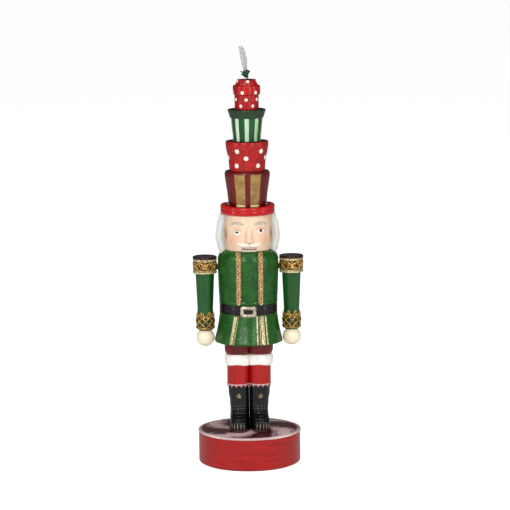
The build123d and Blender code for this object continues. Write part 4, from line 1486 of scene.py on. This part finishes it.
def build_crown():
    """The first tier: red, with pairs of broad gold stripes that end in a pale bead at the foot."""
    lo, hi = heights("hat_crown")
    top_r = radius("hat_crown")
    wall = rim(top_r, lo, (4.7, 0), (2.7, 19)) + rim(top_r, hi, (0, -5), (0, -1.5), (0.6, 0))
    tier("hat_crown", wall, "crown", radius("dotted_tier") - 4.1 * MM)
    pairs, pitch, half, turn = 3, 43, 14, -2  # angles in degrees
    centres = [turn + 360 * k / pairs + way * pitch / 2 for k in range(pairs) for way in (-1, 1)]
    stripes = Shape()
    bands_on(stripes, wall, centres, half, lo + 1.0 * MM, hi - 2.2 * MM, 0.45 * MM)
    piece("crown_stripes", stripes, "crown_gold", 60)
    beads = Shape()
    foot = high("hat_brim") - 1.0 * MM
    for centre in centres:
        path = []
        for i in range(25):
            angle = FRONT + math.radians(centre + half * (i / 12 - 1))
            path.append(wall_point(wall, angle, foot, 0.5 * MM)[0])
        beads.tube(path, lambda t: 0.95 * MM * math.sin(math.pi * (0.1 + 0.8 * t)) ** 0.5, 9)
    piece("crown_beads", beads, "bead", 180)


def build_dotted_tier():
    """The second tier: red, with raised cream dots in staggered rows."""
    lo, hi = heights("dotted_tier")
    top_r = radius("dotted_tier")
    wall = rim(top_r, lo, (4.1, 0), (3.1, 12), (0.9, 23), (0, 28.5)) + rim(top_r, hi, (0.2, 0))
    tier("dotted_tier", wall, "dotted", radius("striped_tier") - 2.3 * MM)
    dots = Shape()
    for height, first in ((7.0, -38.0), (15.3, -6.0), (22.8, -32.0)):  # mm above the foot, first angle
        dots_on(dots, wall, around(5, first, lo + height * MM), 2.5 * MM)
    piece("tier_dots", dots, "dot", 60)


def build_striped_tier():
    """The third tier: green with pale stripes, under a dark green lid that flares like a hat."""
    lo, hi = heights("striped_tier")
    top_r = radius("striped_tier")
    wall = rim(top_r, lo, (2.3, 0), (1.9, 6.5), (0.9, 14.5)) + [(top_r, hi)]
    tier("striped_tier", wall, "tier_green")
    stripes = Shape()
    centres = [angle for angle, _ in around(9, -3, lo)]
    bands_on(stripes, wall, centres, 8.0, lo + 0.5 * MM, hi - 0.1 * MM, 0.3 * MM)
    piece("tier_stripes", stripes, "stripe", 60)

    lo, hi = heights("striped_lid")
    lid_r = radius("striped_lid")
    wall = rim(lid_r, lo, (2.6, 0), (1.7, 3.2)) + rim(lid_r, hi, (0.4, -1.6), (0, -0.8), (0.6, 0))
    tier("striped_lid", wall, "lid_green", radius("gift_box"))


def build_gift_box():
    """The small dotted gift box, its wider lid and the narrower turned top."""
    (lo, hi), box_r = heights("gift_box"), radius("gift_box")
    body = rim(box_r, lo, (0.2, 0)) + [(box_r, hi)]
    tier("gift_box", body, "dotted")
    (lid_lo, lid_hi), lid_r = heights("gift_lid"), radius("gift_lid")
    lid = rim(lid_r, lid_lo, (0.5, 0), (0, 0.8)) + rim(lid_r, lid_hi, (0, -0.8), (0.6, 0))
    tier("gift_lid", lid, "dotted")
    (top_lo, top_hi), top_r = heights("gift_top"), radius("gift_top")
    top = rim(top_r, top_lo, (0, 0), (0.3, 2.2)) + rim(top_r, top_hi, (1.6, 0))
    tier("gift_top", top, "dotted", 0.8 * MM)
    dots = Shape()
    for wall, count, first, z, size, proud in (
        (body, 6, -32, lo + 4.0 * MM, 1.8, 0.35),
        (body, 6, -5, lo + 11.0 * MM, 1.8, 0.35),
        (lid, 6, -21, lid_lo + 2.6 * MM, 1.9, 0.35),
        (top, 5, 4, top_hi - 1.6 * MM, 1.6, 0.3),
    ):
        dots_on(dots, wall, around(count, first, z), size * MM, proud * MM)
    piece("gift_dots", dots, "dot", 60)


def build_holly():
    """Holly leaves with a vein each, around the plume's foot."""
    root = Vector((0, 0, low("holly_leaves")))
    leaves = Shape()
    for turn, rise, length in ((188, 52, 9.6), (236, 58, 9.8), (150, 34, 7.0), (335, 62, 8.6)):
        turn, rise = math.radians(turn), math.radians(rise)
        flat = math.cos(rise)
        along = Vector((math.cos(turn) * flat, math.sin(turn) * flat, math.sin(rise)))
        across = Vector((0, 0, 1)).cross(along).normalized()
        normal = along.cross(across)

        def along_leaf(t, lift=0.0, along=along, normal=normal, length=length):
            """A point on the leaf's bowed middle line, t of the way to its tip."""
            return root + along * (0.8 + length * t) * MM + normal * (lift - 1.3 * (t - 0.4) ** 2) * MM

        grid = []
        for i in range(25):
            t = i / 24
            spikes = 1 - 0.34 * abs(math.sin(t * math.pi * 3)) ** 0.6
            half = 3.1 * MM * math.sin(math.pi * (0.08 + 0.9 * t)) ** 0.8 * (1.32 - 0.6 * spikes)
            row = []
            for j in range(9):
                u = j / 4 - 1
                row.append((along_leaf(t, 0.8 * abs(u) ** 1.3) + across * half * u, normal))
            grid.append(row)
        leaves.sheet(grid, 0.45 * MM)
        vein = [along_leaf(t, 0.45) for t in (0, 0.25, 0.5, 0.75, 0.95)]
        leaves.tube(vein, 0.28 * MM, 7, tone=0.4)
    clip_heights(leaves, root.z, 1.0)
    piece("holly_leaves", leaves, "holly", 60)


def build_berry():
    """A dark berry on a short stalk, with a dimple at its end."""
    lo, hi = BOX["berry"]
    size = (hi.x - lo.x) / 2
    centre = Vector(((lo.x + hi.x) / 2, (lo.y + hi.y) / 2, hi.z - size))
    berry = Shape().ball(centre, (size,) * 3, 24, 32)
    end = centre + Vector((0.3 * MM, -0.6 * MM, size * 0.9))
    berry.ball(end, (0.5 * MM, 0.5 * MM, 0.35 * MM), 8, 10, tone=1.0)
    foot = Vector((centre.x + 0.5 * MM, centre.y + 0.2 * MM, lo.z))
    bend = foot.lerp(centre, 0.4) + Vector((0.3 * MM, 0, 0))
    berry.tube([foot, bend, centre], 0.6 * MM, 10, tone=0.8)
    piece("berry", berry, "berry", 180)


def build_plume():
    """A soft curling plume: a bent quill, a slim vane and rows of fine barbs all around it."""
    lo, hi = BOX["plume"]
    height = hi.z - lo.z
    y = (lo.y + hi.y) / 2
    shape = Shape()

    def quill(t):
        """A point on the plume's bent middle line."""
        sway = -0.6 * MM - 2.4 * MM * t - 3.4 * MM * t**3
        return Vector((sway, y, lo.z + height * 0.985 * t))

    shape.tube([quill(i / 30) for i in range(31)], lambda t: (0.55 - 0.35 * t) * MM, 8)
    vane = [quill(0.15 + 0.8 * i / 30) for i in range(31)]
    shape.tube(vane, lambda t: 1.9 * MM * math.sin(math.pi * (0.04 + 0.92 * t)) ** 0.7, 16, tone=0.3)
    barbs = 170
    for i in range(barbs):
        t = 0.16 + 0.83 * i / (barbs - 1)
        reach = 3.6 * MM * math.sin(math.pi * (t - 0.12) / 0.94) ** 0.6
        for heading in (0, 180, 90, 270):
            spin = math.radians(heading) + random.uniform(-0.45, 0.45)
            out = Vector((math.cos(spin), math.sin(spin) * 0.85, 0))
            length = reach * random.uniform(0.75, 1.05)
            path = []
            for k in range(5):
                s = k / 4
                lift = 3.4 * MM * s**0.8 * (1 - 0.35 * s)
                point = quill(t) + out * length * math.sin(s * math.pi / 2) + Vector((0, 0, lift))
                point.z = min(point.z, hi.z - 0.6 * MM)
                path.append(point)
            shape.tube(path, lambda s: (0.55 - 0.3 * s) * MM, 5, tone=0.3 * random.random())
    piece("plume", shape, "plume", 180)


# ---------- floor, lights and camera
def build_stage():
    """A pale floor, and soft light from the front and above."""
    scene = bpy.context.scene
    scene.view_settings.view_transform = "Standard"

    floor = bpy.data.meshes.new("floor")
    reach = 20
    corners = [(-reach, -reach, 0), (reach, -reach, 0), (reach, reach, 0), (-reach, reach, 0)]
    floor.from_pydata(corners, [], [(0, 1, 2, 3)])
    ground = bpy.data.objects.new("floor", floor)
    scene.collection.objects.link(ground)
    paper = Paint("pale_floor", (0.9, 0.9, 0.9, 1), 0.9, Specular_IOR_Level=0.1)
    paper.shader.inputs["Emission Color"].default_value = (1, 1, 1, 1)
    seen = paper.node("ShaderNodeLightPath").outputs["Is Camera Ray"]
    paper.feed("Emission Strength", paper.span(seen, 0.0, 1.0, 0.04, 0.86))
    floor.materials.append(paper.material)

    world = bpy.data.worlds.new("soft_white")
    world.use_nodes = True
    nodes, links = world.node_tree.nodes, world.node_tree.links
    nodes["Background"].inputs["Color"].default_value = (1, 1, 1, 1)
    rays = nodes.new("ShaderNodeLightPath")
    level = nodes.new("ShaderNodeMapRange")
    links.new(rays.outputs["Is Camera Ray"], level.inputs["Value"])
    level.inputs["To Min"].default_value = 0.13
    links.new(level.outputs["Result"], nodes["Background"].inputs["Strength"])
    scene.world = world

    def area(name, place, target, size, power):
        """A rectangular lamp that faces its target."""
        lamp = bpy.data.lights.new(name, "AREA")
        lamp.shape = "RECTANGLE"
        lamp.size, lamp.size_y = size
        lamp.energy = power
        obj = bpy.data.objects.new(name, lamp)
        obj.location = place
        obj.rotation_euler = (Vector(target) - Vector(place)).to_track_quat("-Z", "Y").to_euler()
        scene.collection.objects.link(obj)

    area("key_light", (-0.7, -1.7, 1.0), (0, 0, 0.22), (0.5, 1.2), 19)
    area("fill_light", (0.8, -1.7, 0.8), (0, 0, 0.22), (0.4, 1.2), 12)
    area("left_strip", (-1.5, -0.7, 0.5), (0, 0, 0.22), (0.18, 1.2), 5)
    area("right_strip", (1.5, -0.7, 0.5), (0, 0, 0.22), (0.18, 1.2), 5)
    area("top_light", (0, -0.3, 1.8), (0, 0, 0.2), (1.0, 0.8), 6)


def build_camera():
    """A long lens, level with a standing viewer's hand, looking slightly down."""
    distance, height = 2.926, 0.675
    azimuth = math.radians(-3.0)
    down = math.radians(8.66)
    aside = math.radians(0.15)
    roll = math.radians(0.5)
    camera = bpy.data.cameras.new("camera")
    camera.sensor_width = 36
    camera.lens = 191.8
    camera.clip_end = 100
    obj = bpy.data.objects.new("camera", camera)
    place = Matrix.Translation((distance * math.sin(azimuth), -distance * math.cos(azimuth), height))
    aim = (
        Matrix.Rotation(azimuth - aside, 4, "Z")
        @ Matrix.Rotation(math.pi / 2 - down, 4, "X")
        @ Matrix.Rotation(-roll, 4, "Z")
    )
    obj.matrix_world = place @ aim
    bpy.context.scene.collection.objects.link(obj)
    bpy.context.scene.camera = obj


build_plinth()
for side_name, side_sign in SIDES:
    build_boot(side_name, side_sign)
    build_leg(side_name, side_sign)
    build_knee_band(side_name, side_sign)
    build_arm(side_name)
build_boot_ornaments()
build_breeches()
build_skirt()
build_belt()
build_chest()
build_head()
build_nose()
build_eyes()
build_brows()
build_moustache()
build_hair()
build_brim()
build_crown()
build_dotted_tier()
build_striped_tier()
build_gift_box()
build_holly()
build_berry()
build_plume()
build_stage()
build_camera()
